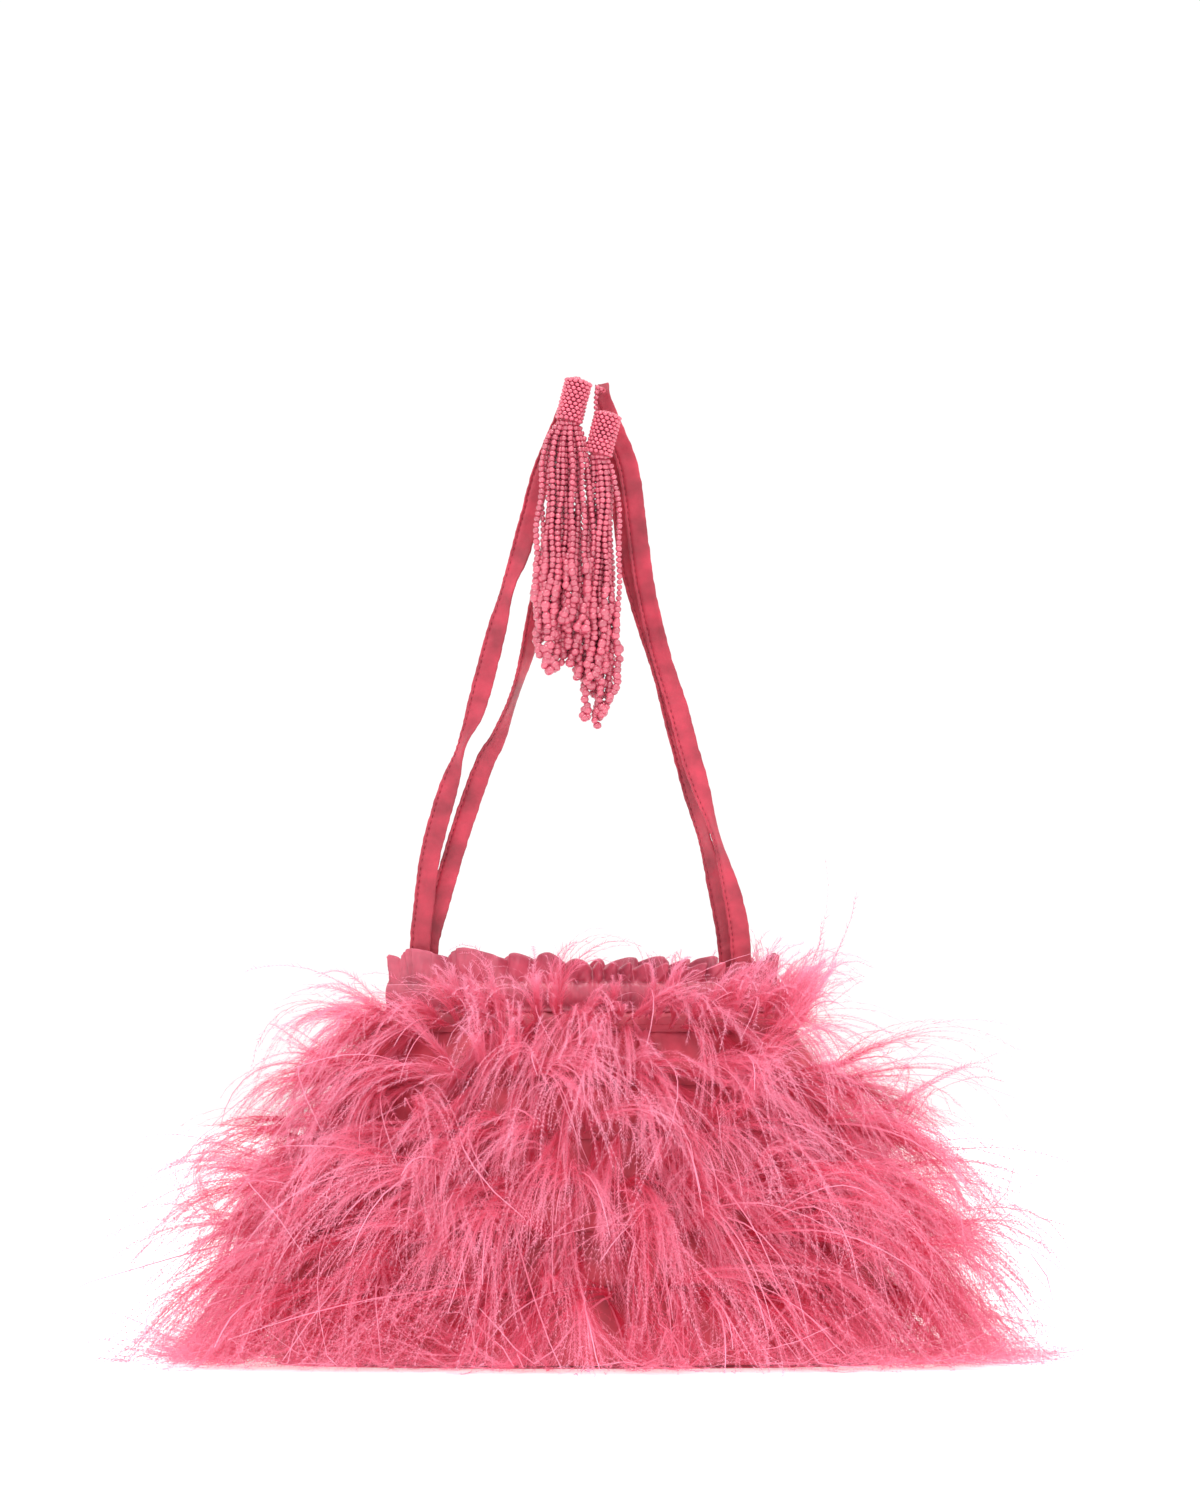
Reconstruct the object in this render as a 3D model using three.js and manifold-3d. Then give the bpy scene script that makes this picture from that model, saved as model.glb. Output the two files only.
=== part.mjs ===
// A drawstring evening pouch: a lined satin bag standing on a stiff oval base, covered with rows of
// feather fringe, closed by two ribbon drawcords, each with a beaded tassel at the top of its loop.
// Millimetres, +Z up. The bag stands on z = 0, its front faces -Y and the origin is under its middle.
import * as THREE from 'three';
import { mergeVertices } from 'three/addons/utils/BufferGeometryUtils.js';
import Module from 'manifold-3d';

const wasm = await Module();
wasm.setup();

// Clearances and cloth
const GAP = 0.3; // between pieces that touch
const LAYER_GAP = 0.7; // between layers of cloth on the curved wall
const SATIN = 0.8; // fused outer cloth
const LINING = 0.6; // lining cloth
const TAPE = 0.8; // sewn tape that carries the feathers

// Bag body: an oval that narrows from the base to the gathered neck
const BASE_HALF_WIDTH = 122;
const BASE_HALF_DEPTH = 42;
const NECK_HALF_WIDTH = 77;
const NECK_HALF_DEPTH = 18;
const NECK_HEIGHT = 141; // the bag wall ends and the gathered casing starts
const NARROWING = 1.6; // how late the wall starts to draw in
const WALL_BANDS = 8; // straight bands that the wall curve is made of
const OVAL_SIDES = 32;
const BASE_PANEL = 0.8;
const BASE_BOARD = 2;

// Feather fringe: rows of sewn tape, each with a flared skirt of feathers
const ROWS = 6;
const TOP_ROW_BELOW_NECK = 4;
const ROW_SPACING = 21;
const TAPE_HEIGHT = 6;
const FRINGE_REACH = 78; // beyond the bag wall, at the floor
const FRINGE_CLOSES_ABOVE_NECK = 21; // where the outline of the fringe meets the neck
const FRINGE_SWELL = 1.8;
const FRINGE_THICKNESS = 1.6;
const FRINGE_LIFT = 14; // how far feathers rise before they droop
const TOP_TIP_HEIGHT = 96;
const LOWEST_TIP_HEIGHT = 4;
const FRINGE_STEPS = 3;

// Casing, the channel round the mouth, and the frill above it
const CASING_HEIGHT = 9.4;
const CASING_DEPTH = 4;
const CHANNEL_HEIGHT = 8;
const CHANNEL_DEPTH = 2.8;
const CORD_WIDTH = 7; // of the flat cord inside the channel
const CORD_THICKNESS = 0.7;
const CASING_END_X = 56; // the casing stops here and the cords come out beside it
const SIDE_CASING_DEPTH = 1.2;
const FRILL_HEIGHT = 10.6;
const FRILL_CLOTH = 0.8;
const FRILL_WAVE = 2;
const FRILL_PLEATS = 15;
const FRILL_END_ANGLE = 28; // degrees short of the side, so the two halves can close
const FRILL_POINTS = 76;
const ARC_STEPS = 20;

// Drawcords
const TAIL_WIDTH = 11;
const TAIL_THICKNESS = 1;
const TAIL_APART = 2.8; // between the two strands
const TAIL_BELOW_NECK = 2;
const TAIL_BELOW_LOOP = 1.4;
const LOOP_RADIUS = 1.5;
const LOOP_SIDES = 8;
const LOOP_STEPS = 60;

// Tassels
const CAP_RADIUS = 5.7;
const CAP_BORE = 3.7;
const CAP_LENGTH = 17;
const CAP_TOP = 1.5;
const CAP_HOLE = 1.2;
const CORE_RADIUS = 3.3;
const CORE_SHOWS = 1; // of the core below the cap
const TASSEL_Y = -9.3 - CAP_RADIUS; // the caps hang just clear in front of the ribbons
const KNOT_RADIUS = 1.5;
const HANGER_RADIUS = 0.7;
const ROUND_SIDES = 16;

const COLOURS = {
  satin: { color: 0xe0567f, roughness: 0.38 },
  lining: { color: 0xd8587c, roughness: 0.55 },
  board: { color: 0xc9b8a6, roughness: 0.9 },
  tape: { color: 0xd2496f, roughness: 0.7 },
  feather: { color: 0xe8658c, roughness: 0.85 },
  ribbon: { color: 0xc8395f, roughness: 0.5 },
  bead: { color: 0xd9607f, roughness: 0.2 },
  thread: { color: 0xcf4a6d, roughness: 0.7 },
  core: { color: 0xd46a86, roughness: 0.6 },
};

const model = new THREE.Group();

function add(name, geometry, finish, parent = model) {
  const material = new THREE.MeshStandardMaterial({ metalness: 0, ...COLOURS[finish] });
  const mesh = new THREE.Mesh(geometry, material);
  mesh.name = name;
  parent.add(mesh);
  return mesh;
}

// ---- solids -------------------------------------------------------------------------------------

// Merges the shared vertices and turns the faces outward
function closed(geometry) {
  geometry.deleteAttribute('normal');
  geometry.deleteAttribute('uv');
  const merged = mergeVertices(geometry, 1e-4);
  const index = merged.index.array;
  const kept = [];
  for (let i = 0; i < index.length; i += 3) {
    const [a, b, c] = [index[i], index[i + 1], index[i + 2]];
    if (a !== b && b !== c && c !== a) {
      kept.push(a, b, c);
    }
  }
  if (signedVolume(merged.attributes.position, kept) < 0) {
    kept.reverse();
  }
  merged.setIndex(kept);
  merged.computeVertexNormals();
  return merged;
}

function signedVolume(position, index) {
  const corner = [new THREE.Vector3(), new THREE.Vector3(), new THREE.Vector3()];
  let volume = 0;
  for (let i = 0; i < index.length; i += 3) {
    corner.forEach((point, k) => point.fromBufferAttribute(position, index[i + k]));
    volume += corner[0].dot(corner[1].clone().cross(corner[2])) / 6;
  }
  return volume;
}

function toSolid(geometry) {
  const vertProperties = new Float32Array(geometry.attributes.position.array);
  const triVerts = new Uint32Array(geometry.index.array);
  return new wasm.Manifold(new wasm.Mesh({ numProp: 3, vertProperties, triVerts }));
}

function fromSolid(solid) {
  const mesh = solid.getMesh();
  const geometry = new THREE.BufferGeometry();
  geometry.setAttribute('position', new THREE.BufferAttribute(mesh.vertProperties, 3));
  geometry.setIndex(new THREE.BufferAttribute(mesh.triVerts, 1));
  geometry.computeVertexNormals();
  return geometry;
}

function block(low, high) {
  const size = high.clone().sub(low);
  const geometry = new THREE.BoxGeometry(size.x, size.y, size.z);
  geometry.translate((low.x + high.x) / 2, (low.y + high.y) / 2, (low.z + high.z) / 2);
  return closed(geometry);
}

// Keeps what lies inside a box
function keepInside(geometry, low, high) {
  return fromSolid(toSolid(geometry).intersect(toSolid(block(low, high))));
}

const FAR = 400;

// side -1 keeps the front, side 1 the back, with half a seam gap left at the middle
function half(geometry, side, middle = 0) {
  const seam = middle + (side * GAP) / 2;
  const low = new THREE.Vector3(-FAR, side < 0 ? -FAR : seam, -FAR);
  const high = new THREE.Vector3(FAR, side < 0 ? seam : FAR, FAR);
  return keepInside(geometry, low, high);
}

// ---- the oval wall ------------------------------------------------------------------------------

function narrowing(height) {
  const share = Math.min(Math.max(height / NECK_HEIGHT, 0), 1);
  return Math.cos((Math.PI / 2) * share ** NARROWING);
}

const BAND = NECK_HEIGHT / WALL_BANDS;

// The wall is straight between its bands, so every layer beside it stays parallel to it
function wallAt(height, neck, base) {
  const clamped = Math.min(Math.max(height, 0), NECK_HEIGHT);
  const band = Math.min(Math.floor(clamped / BAND), WALL_BANDS - 1);
  const share = clamped / BAND - band;
  const below = neck + (base - neck) * narrowing(band * BAND);
  const above = neck + (base - neck) * narrowing((band + 1) * BAND);
  return below + (above - below) * share;
}

function halfWidth(height) {
  return wallAt(height, NECK_HALF_WIDTH, BASE_HALF_WIDTH);
}

function halfDepth(height) {
  return wallAt(height, NECK_HALF_DEPTH, BASE_HALF_DEPTH);
}

// Profile points at a distance outside the wall, from one height up to another
function wallLine(offset, from, to) {
  const heights = [from];
  for (let band = 1; band < WALL_BANDS; band += 1) {
    const height = band * BAND;
    if (height > from + 0.01 && height < to - 0.01) {
      heights.push(height);
    }
  }
  heights.push(to);
  return heights.map((height) => new THREE.Vector2(halfWidth(height) + offset, height));
}

// Turns a profile about the vertical and presses the round into the oval of the bag
function ovalSolid(profile) {
  const geometry = new THREE.LatheGeometry(profile, OVAL_SIDES);
  geometry.rotateX(Math.PI / 2);
  const position = geometry.attributes.position;
  for (let i = 0; i < position.count; i += 1) {
    const x = position.getX(i);
    const y = position.getY(i);
    const height = position.getZ(i);
    const radius = Math.hypot(x, y);
    if (radius > 1) {
      const depth = halfDepth(height) + radius - halfWidth(height);
      position.setY(i, (y * depth) / radius);
    }
  }
  return closed(geometry);
}

function ovalBand(inner, outer, from, to) {
  const profile = [...wallLine(outer, from, to), ...wallLine(inner, from, to).reverse()];
  profile.push(profile[0].clone());
  return ovalSolid(profile);
}

function ovalPlate(offset, from, to) {
  const profile = [
    new THREE.Vector2(0, from),
    new THREE.Vector2(halfWidth(from) + offset, from),
    new THREE.Vector2(halfWidth(to) + offset, to),
    new THREE.Vector2(0, to),
  ];
  return ovalSolid(profile);
}

// ---- bag ----------------------------------------------------------------------------------------

function makeShell() {
  const shell = ovalBand(-SATIN, 0, 0, NECK_HEIGHT);
  add('satin_shell_front', half(shell, -1), 'satin');
  add('satin_shell_back', half(shell, 1), 'satin');
}

const BOARD_FLOOR = BASE_PANEL + GAP;
const LINING_FLOOR = BOARD_FLOOR + BASE_BOARD + GAP;

function makeBase() {
  add('base_panel', ovalPlate(-SATIN - GAP, 0, BASE_PANEL), 'satin');
  add('base_board', ovalPlate(-SATIN - 2 * GAP, BOARD_FLOOR, BOARD_FLOOR + BASE_BOARD), 'board');
}

function makeLining() {
  const outer = -SATIN - LAYER_GAP;
  const rim = NECK_HEIGHT - 1;
  const profile = [
    new THREE.Vector2(0, LINING_FLOOR),
    ...wallLine(outer, LINING_FLOOR, rim),
    ...wallLine(outer - LINING, LINING_FLOOR + LINING, rim).reverse(),
    new THREE.Vector2(0, LINING_FLOOR + LINING),
  ];
  add('lining_bag', ovalSolid(profile), 'lining');
}

function fringeHalfWidth(height) {
  const share = Math.min(height / (NECK_HEIGHT + FRINGE_CLOSES_ABOVE_NECK), 1);
  const widest = BASE_HALF_WIDTH + FRINGE_REACH;
  return NECK_HALF_WIDTH + (widest - NECK_HALF_WIDTH) * (1 - share ** FRINGE_SWELL);
}

// One row of feathers: a thin flared skirt that rises from its tape, arches over and droops
function fringeSkirt(tapeTop, tipHeight) {
  const start = new THREE.Vector2();
  start.y = tapeTop - 1;
  start.x = halfWidth(start.y) + LAYER_GAP + TAPE + LAYER_GAP + FRINGE_THICKNESS;
  const tip = new THREE.Vector2(fringeHalfWidth(tipHeight) - FRINGE_THICKNESS, tipHeight);
  const shoulder = start.clone().lerp(tip, 0.5);
  shoulder.y += FRINGE_LIFT;
  const curve = new THREE.QuadraticBezierCurve(start, shoulder, tip);
  const upper = [];
  const lower = [];
  for (let step = 0; step <= FRINGE_STEPS; step += 1) {
    const at = step / FRINGE_STEPS;
    const along = curve.getTangent(at);
    const across = new THREE.Vector2(-along.y, along.x).multiplyScalar(FRINGE_THICKNESS / 2);
    upper.push(curve.getPoint(at).add(across));
    lower.push(curve.getPoint(at).sub(across));
  }
  const profile = [...lower, ...upper.reverse()];
  profile.push(profile[0].clone());
  return ovalSolid(profile);
}

function makeFeatherRows() {
  for (let row = 0; row < ROWS; row += 1) {
    const tapeTop = NECK_HEIGHT - TOP_ROW_BELOW_NECK - row * ROW_SPACING;
    const share = row / (ROWS - 1);
    const tipHeight = TOP_TIP_HEIGHT + (LOWEST_TIP_HEIGHT - TOP_TIP_HEIGHT) * share;
    const tape = ovalBand(LAYER_GAP, LAYER_GAP + TAPE, tapeTop - TAPE_HEIGHT, tapeTop);
    add(`feather_tape_${row + 1}`, tape, 'tape');
    add(`feather_row_${row + 1}`, fringeSkirt(tapeTop, tipHeight), 'feather');
  }
}

// ---- mouth --------------------------------------------------------------------------------------

const CASING_FLOOR = NECK_HEIGHT + GAP;
const FRILL_FLOOR = CASING_FLOOR + CASING_HEIGHT + GAP;

// The middle line of the casing, from one end round the front (side -1) or the back to the other
function casingLine(side) {
  const midWidth = NECK_HALF_WIDTH - CASING_DEPTH / 2;
  const midDepth = NECK_HALF_DEPTH - CASING_DEPTH / 2;
  const endAngle = Math.acos(CASING_END_X / midWidth);
  const points = [];
  for (let step = 0; step <= ARC_STEPS; step += 1) {
    const angle = endAngle + ((Math.PI - 2 * endAngle) * step) / ARC_STEPS;
    const x = -midWidth * Math.cos(angle);
    const y = side * midDepth * Math.sin(angle);
    points.push(new THREE.Vector3(x, y, CASING_FLOOR + CASING_HEIGHT / 2));
  }
  return new THREE.CatmullRomCurve3(points);
}

// A rectangle in the section of the casing: height first, then from the inside to the outside
function section(height, from, to) {
  const shape = new THREE.Shape();
  shape.moveTo(-height / 2, from);
  shape.lineTo(height / 2, from);
  shape.lineTo(height / 2, to);
  shape.lineTo(-height / 2, to);
  shape.closePath();
  return shape;
}

function alongCasing(shape, side) {
  const settings = { steps: ARC_STEPS, bevelEnabled: false, extrudePath: casingLine(side) };
  return closed(new THREE.ExtrudeGeometry(shape, settings));
}

function makeCasing(end, side) {
  const wall = section(CASING_HEIGHT, -CASING_DEPTH / 2, CASING_DEPTH / 2);
  wall.holes.push(section(CHANNEL_HEIGHT, -CHANNEL_DEPTH / 2, CHANNEL_DEPTH / 2));
  add(`casing_${end}`, alongCasing(wall, side), 'satin');
  const near = section(CORD_WIDTH, GAP, GAP + CORD_THICKNESS);
  const far = section(CORD_WIDTH, -GAP - CORD_THICKNESS, -GAP);
  add(`left_cord_run_${end}`, alongCasing(near, side), 'ribbon');
  add(`right_cord_run_${end}`, alongCasing(far, side), 'ribbon');
}

// The pleated frill above the casing, a wavy strip of cloth standing on edge
function makeFrill(end, side) {
  const shape = new THREE.Shape();
  const endAngle = THREE.MathUtils.degToRad(FRILL_END_ANGLE);
  const point = (step, cloth) => {
    const angle = endAngle + ((Math.PI - 2 * endAngle) * step) / FRILL_POINTS;
    const wave = FRILL_WAVE * Math.sin(2 * Math.PI * FRILL_PLEATS * (step / FRILL_POINTS));
    const inset = wave - FRILL_WAVE + cloth;
    return [
      -(NECK_HALF_WIDTH + inset) * Math.cos(angle),
      side * (NECK_HALF_DEPTH + inset) * Math.sin(angle),
    ];
  };
  shape.moveTo(...point(0, 0));
  for (let step = 1; step <= FRILL_POINTS; step += 1) {
    shape.lineTo(...point(step, 0));
  }
  for (let step = FRILL_POINTS; step >= 0; step -= 1) {
    shape.lineTo(...point(step, -FRILL_CLOTH));
  }
  shape.closePath();
  const geometry = new THREE.ExtrudeGeometry(shape, { depth: FRILL_HEIGHT, bevelEnabled: false });
  geometry.translate(0, 0, FRILL_FLOOR);
  add(`frill_${end}`, closed(geometry), 'satin');
}

// The short stretch of casing that wraps each side, open inside so that the cord can come up
function makeSideCasings() {
  const ring = ovalBand(-SIDE_CASING_DEPTH, 0, CASING_FLOOR, CASING_FLOOR + CASING_HEIGHT);
  const start = CASING_END_X + 5 * GAP;
  const low = new THREE.Vector3(start, -FAR, 0);
  const high = new THREE.Vector3(FAR, FAR, FAR);
  add('right_side_casing', keepInside(ring, low, high), 'satin');
  const lowLeft = new THREE.Vector3(-FAR, -FAR, 0);
  const highLeft = new THREE.Vector3(-start, FAR, FAR);
  add('left_side_casing', keepInside(ring, lowLeft, highLeft), 'satin');
}

// ---- drawcords ----------------------------------------------------------------------------------

function discShape(radius, sides) {
  const shape = new THREE.Shape();
  for (let side = 0; side < sides; side += 1) {
    const angle = (2 * Math.PI * side) / sides;
    const corner = [radius * Math.cos(angle), radius * Math.sin(angle)];
    if (side === 0) {
      shape.moveTo(...corner);
    } else {
      shape.lineTo(...corner);
    }
  }
  shape.closePath();
  return shape;
}

function tubeAlong(points, radius, sides, steps) {
  const extrudePath = new THREE.CatmullRomCurve3(points.map((point) => new THREE.Vector3(...point)));
  const settings = { steps, bevelEnabled: false, extrudePath };
  return closed(new THREE.ExtrudeGeometry(discShape(radius, sides), settings));
}

// Each loop runs up its front strand, over the top and down its back strand
const LEFT_LOOP = [
  [-64.6, -1.95, 164.4],
  [-63.2, -2.2, 180],
  [-59.6, -3, 206],
  [-48.2, -3.2, 245],
  [-42.2, -3.2, 261],
  [-30.2, -3.2, 307],
  [-25.4, -3.2, 321],
  [-20.6, -3.2, 338],
  [-16.4, -3.2, 354],
  [-8.6, -3.2, 374],
  [-4.9, -3, 385],
  [-4.3, -2.1, 389.6],
  [-4.2, 0, 391.2],
  [-4.3, 2.1, 389.6],
  [-4.9, 3, 385],
  [-6.6, 3.2, 366],
  [-12.4, 3.2, 328],
  [-19.4, 3.2, 294],
  [-25, 3.2, 273],
  [-33.2, 3.2, 250],
  [-39.2, 3.2, 238.6],
  [-48.8, 3, 211],
  [-58, 2.2, 179],
  [-61.4, 1.95, 164.4],
];
const RIGHT_LOOP = [
  [63.2, -1.95, 164.4],
  [61, -2.2, 181],
  [56.4, -3, 199],
  [48.2, -3.2, 226],
  [42.8, -3.2, 243.4],
  [38.4, -3.2, 260],
  [31.6, -3.2, 281.6],
  [25.6, -3.2, 307],
  [23, -3.2, 324],
  [18.8, -3.2, 356],
  [12.2, -3.2, 374],
  [8.5, -3, 385],
  [8.1, -2.1, 389.6],
  [8, 0, 391.2],
  [8.1, 2.1, 389.6],
  [8.4, 3, 385],
  [10.6, 3.2, 373],
  [15.2, 3.2, 352],
  [17.8, 3.2, 326],
  [24, 3.2, 300],
  [32.6, 3.2, 270],
  [40.6, 3.2, 242],
  [47.6, 3, 214],
  [54, 2.2, 189],
  [58.4, 1.95, 164.4],
];

// The two strands of a cord where they come up out of the casing, joined below like a hairpin
function makeTail(name, loop) {
  const [first, last] = [loop[0], loop[loop.length - 1]];
  const x = (first[0] + last[0]) / 2;
  const top = first[2] - TAIL_BELOW_LOOP;
  const foot = NECK_HEIGHT - TAIL_BELOW_NECK;
  const inner = TAIL_APART / 2;
  const outer = inner + TAIL_THICKNESS;
  const shape = new THREE.Shape();
  shape.moveTo(-outer, foot);
  shape.lineTo(outer, foot);
  shape.lineTo(outer, top);
  shape.lineTo(inner, top);
  shape.lineTo(inner, foot + TAIL_THICKNESS);
  shape.lineTo(-inner, foot + TAIL_THICKNESS);
  shape.lineTo(-inner, top);
  shape.lineTo(-outer, top);
  shape.closePath();
  const geometry = new THREE.ExtrudeGeometry(shape, { depth: TAIL_WIDTH, bevelEnabled: false });
  geometry.rotateX(Math.PI / 2);
  geometry.rotateZ(Math.PI / 2);
  geometry.translate(x - TAIL_WIDTH / 2, 0, 0);
  add(name, closed(geometry), 'ribbon');
}

function makeDrawcords() {
  makeTail('left_cord_tail', LEFT_LOOP);
  makeTail('right_cord_tail', RIGHT_LOOP);
  add('left_cord_loop', tubeAlong(LEFT_LOOP, LOOP_RADIUS, LOOP_SIDES, LOOP_STEPS), 'ribbon');
  add('right_cord_loop', tubeAlong(RIGHT_LOOP, LOOP_RADIUS, LOOP_SIDES, LOOP_STEPS), 'ribbon');
}

// ---- tassels ------------------------------------------------------------------------------------

// side, the knot on the ribbon, the middle of the cap's top, its lean to the left in degrees, the
// bead or thread hanger, and the strands as [x, height, half width, half depth]
const TASSELS = [
  {
    side: 'left',
    knot: [-4.3, -6.6, 388],
    top: [-1.2, 391],
    lean: 14,
    hanger: [[-3.9, -8.4, 389], [-3.2, -10, 392.6], [-2, -13, 394.4], [-1.3, TASSEL_Y, 392.6]],
    strands: [
      [-5.9, 370.8, 4.6, 4.6],
      [-7.2, 362, 7.8, 5.2],
      [-7.4, 350, 9.4, 5.6],
      [-8.5, 320, 10.8, 5.6],
      [-9, 290, 10.4, 5.6],
      [-10, 275, 7, 4],
    ],
  },
  {
    side: 'right',
    knot: [8, -6.6, 388],
    top: [4.9 + CAP_RADIUS, 377.6],
    lean: 14,
    hanger: [[7.9, -8.5, 387.6], [8, -12, 386], [9.4, -14.6, 382.6], [10.5, TASSEL_Y, 379]],
    strands: [
      [7.6, 356.4, 4.3, 4.6],
      [9.4, 346, 6, 5.2],
      [9.8, 330, 6.5, 5.4],
      [9.8, 300, 6.5, 5.4],
      [8.8, 284, 5.6, 5.4],
      [7, 270, 7, 5],
      [4, 251, 2.6, 3],
    ],
  },
];

function capProfile() {
  return [
    new THREE.Vector2(CAP_HOLE, 0),
    new THREE.Vector2(CAP_RADIUS - 0.8, 0),
    new THREE.Vector2(CAP_RADIUS, -0.9),
    new THREE.Vector2(CAP_RADIUS, -CAP_LENGTH),
    new THREE.Vector2(CAP_BORE, -CAP_LENGTH),
    new THREE.Vector2(CAP_BORE, -CAP_TOP),
    new THREE.Vector2(CAP_HOLE, -CAP_TOP),
    new THREE.Vector2(CAP_HOLE, 0),
  ];
}

function coreProfile() {
  const top = -CAP_TOP - GAP;
  const bottom = -CAP_LENGTH - CORE_SHOWS;
  return [
    new THREE.Vector2(0, top),
    new THREE.Vector2(CORE_RADIUS, top),
    new THREE.Vector2(CORE_RADIUS, bottom + 1),
    new THREE.Vector2(CORE_RADIUS - 1, bottom),
    new THREE.Vector2(0, bottom),
  ];
}

function turned(profile) {
  const geometry = new THREE.LatheGeometry(profile, ROUND_SIDES);
  geometry.rotateX(Math.PI / 2);
  return closed(geometry);
}

// A bundle of strands as a loft through oval sections
function bundle(sections) {
  const geometry = new THREE.CylinderGeometry(1, 1, 1, ROUND_SIDES, sections.length - 1);
  geometry.rotateX(Math.PI / 2);
  const position = geometry.attributes.position;
  for (let i = 0; i < position.count; i += 1) {
    const level = Math.round((0.5 - position.getZ(i)) * (sections.length - 1));
    const [x, height, wide, deep] = sections[level];
    const across = x + wide * position.getX(i);
    const along = TASSEL_Y + deep * position.getY(i);
    position.setXYZ(i, across, along, height);
  }
  return closed(geometry);
}

function makeTassel({ side, knot, top, lean, hanger, strands }) {
  const ball = closed(new THREE.SphereGeometry(KNOT_RADIUS, 10, 8));
  add(`${side}_tassel_knot`, ball, 'thread').position.set(...knot);
  add(`${side}_tassel_hanger`, tubeAlong(hanger, HANGER_RADIUS, 8, 10), 'thread');
  const head = new THREE.Group();
  head.position.set(top[0], TASSEL_Y, top[1]);
  head.rotation.y = THREE.MathUtils.degToRad(lean);
  add(`${side}_tassel_cap`, turned(capProfile()), 'bead', head);
  add(`${side}_tassel_core`, turned(coreProfile()), 'core', head);
  model.add(head);
  const whole = bundle(strands);
  add(`${side}_tassel_strands_front`, half(whole, -1, TASSEL_Y), 'bead');
  add(`${side}_tassel_strands_back`, half(whole, 1, TASSEL_Y), 'bead');
}

makeShell();
makeBase();
makeLining();
makeFeatherRows();
makeCasing('front', -1);
makeCasing('back', 1);
makeFrill('front', -1);
makeFrill('back', 1);
makeSideCasings();
makeDrawcords();
TASSELS.forEach(makeTassel);

export default model;
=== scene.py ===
"""A feather-covered satin drawstring pouch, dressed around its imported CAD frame."""

import math

import bmesh
import bpy
import numpy as np
from bpy.props import FloatProperty, FloatVectorProperty, IntProperty, PointerProperty
from bpy.types import Operator, Panel, PropertyGroup
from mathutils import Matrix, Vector


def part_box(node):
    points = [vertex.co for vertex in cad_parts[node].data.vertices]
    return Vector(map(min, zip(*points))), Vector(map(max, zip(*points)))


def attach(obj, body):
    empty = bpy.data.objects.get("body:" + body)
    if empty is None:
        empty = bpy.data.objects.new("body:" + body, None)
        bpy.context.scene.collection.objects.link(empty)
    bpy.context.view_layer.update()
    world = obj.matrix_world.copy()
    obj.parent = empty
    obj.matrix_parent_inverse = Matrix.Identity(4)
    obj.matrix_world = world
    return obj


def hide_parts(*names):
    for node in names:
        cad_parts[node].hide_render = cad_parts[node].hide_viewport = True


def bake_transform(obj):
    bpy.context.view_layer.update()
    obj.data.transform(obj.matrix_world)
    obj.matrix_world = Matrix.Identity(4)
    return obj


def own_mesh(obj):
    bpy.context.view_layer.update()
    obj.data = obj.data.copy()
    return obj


bl_info = {
    "name": "Feather drawstring pouch",
    "version": (1, 0, 0),
    "blender": (4, 5, 0),
    "location": "View3D > Sidebar > Pouch",
    "description": "Builds a satin drawstring pouch with feather fringe and bead tassels",
    "category": "Object",
}

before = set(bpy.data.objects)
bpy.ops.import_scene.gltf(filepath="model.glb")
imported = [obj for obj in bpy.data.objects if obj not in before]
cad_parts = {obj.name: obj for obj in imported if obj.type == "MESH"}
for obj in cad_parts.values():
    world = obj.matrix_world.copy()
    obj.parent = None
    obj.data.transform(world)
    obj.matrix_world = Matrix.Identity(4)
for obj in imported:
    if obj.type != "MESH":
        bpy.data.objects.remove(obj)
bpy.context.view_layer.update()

MM = 0.001
ENDS = ("front", "back")
SIDES = ("left", "right")
ROWS = range(1, 7)

# The oval bag wall, from the CAD shell and casing
SHELL_LOW, SHELL_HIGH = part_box("satin_shell_front")
BASE_HALF_WIDTH = SHELL_HIGH[0]
BASE_HALF_DEPTH = -SHELL_LOW[1]
NECK_HEIGHT = SHELL_HIGH[2]
NECK_HALF_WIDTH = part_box("right_side_casing")[1][0]
NECK_HALF_DEPTH = -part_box("casing_front")[0][1]
CASING_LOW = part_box("casing_front")[0][2]
CASING_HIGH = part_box("casing_front")[1][2]
NARROWING = 1.6  # how late the wall starts to draw in
TURN = 2 * math.pi


# ---- settings -----------------------------------------------------------------------------------


class PouchColours(PropertyGroup):
    feather: FloatVectorProperty(
        name="Feather", description="Main colour of the feathers",
        subtype="COLOR", size=4, min=0, max=1, default=(0.95, 0.065, 0.16, 1),
    )
    feather_tip: FloatVectorProperty(
        name="Feather tip", description="Colour of the thin ends of the feathers",
        subtype="COLOR", size=4, min=0, max=1, default=(0.97, 0.43, 0.58, 1),
    )
    satin: FloatVectorProperty(
        name="Satin", description="Colour of the bag, its lining and its tapes",
        subtype="COLOR", size=4, min=0, max=1, default=(0.60, 0.075, 0.12, 1),
    )
    frill: FloatVectorProperty(
        name="Frill", description="Colour of the gathered mouth and its frill",
        subtype="COLOR", size=4, min=0, max=1, default=(0.54, 0.095, 0.15, 1),
    )
    ribbon: FloatVectorProperty(
        name="Ribbon", description="Colour of the drawcords",
        subtype="COLOR", size=4, min=0, max=1, default=(0.38, 0.025, 0.05, 1),
    )
    bead: FloatVectorProperty(
        name="Bead", description="Colour of the glass beads",
        subtype="COLOR", size=4, min=0, max=1, default=(0.52, 0.075, 0.125, 1),
    )


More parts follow.
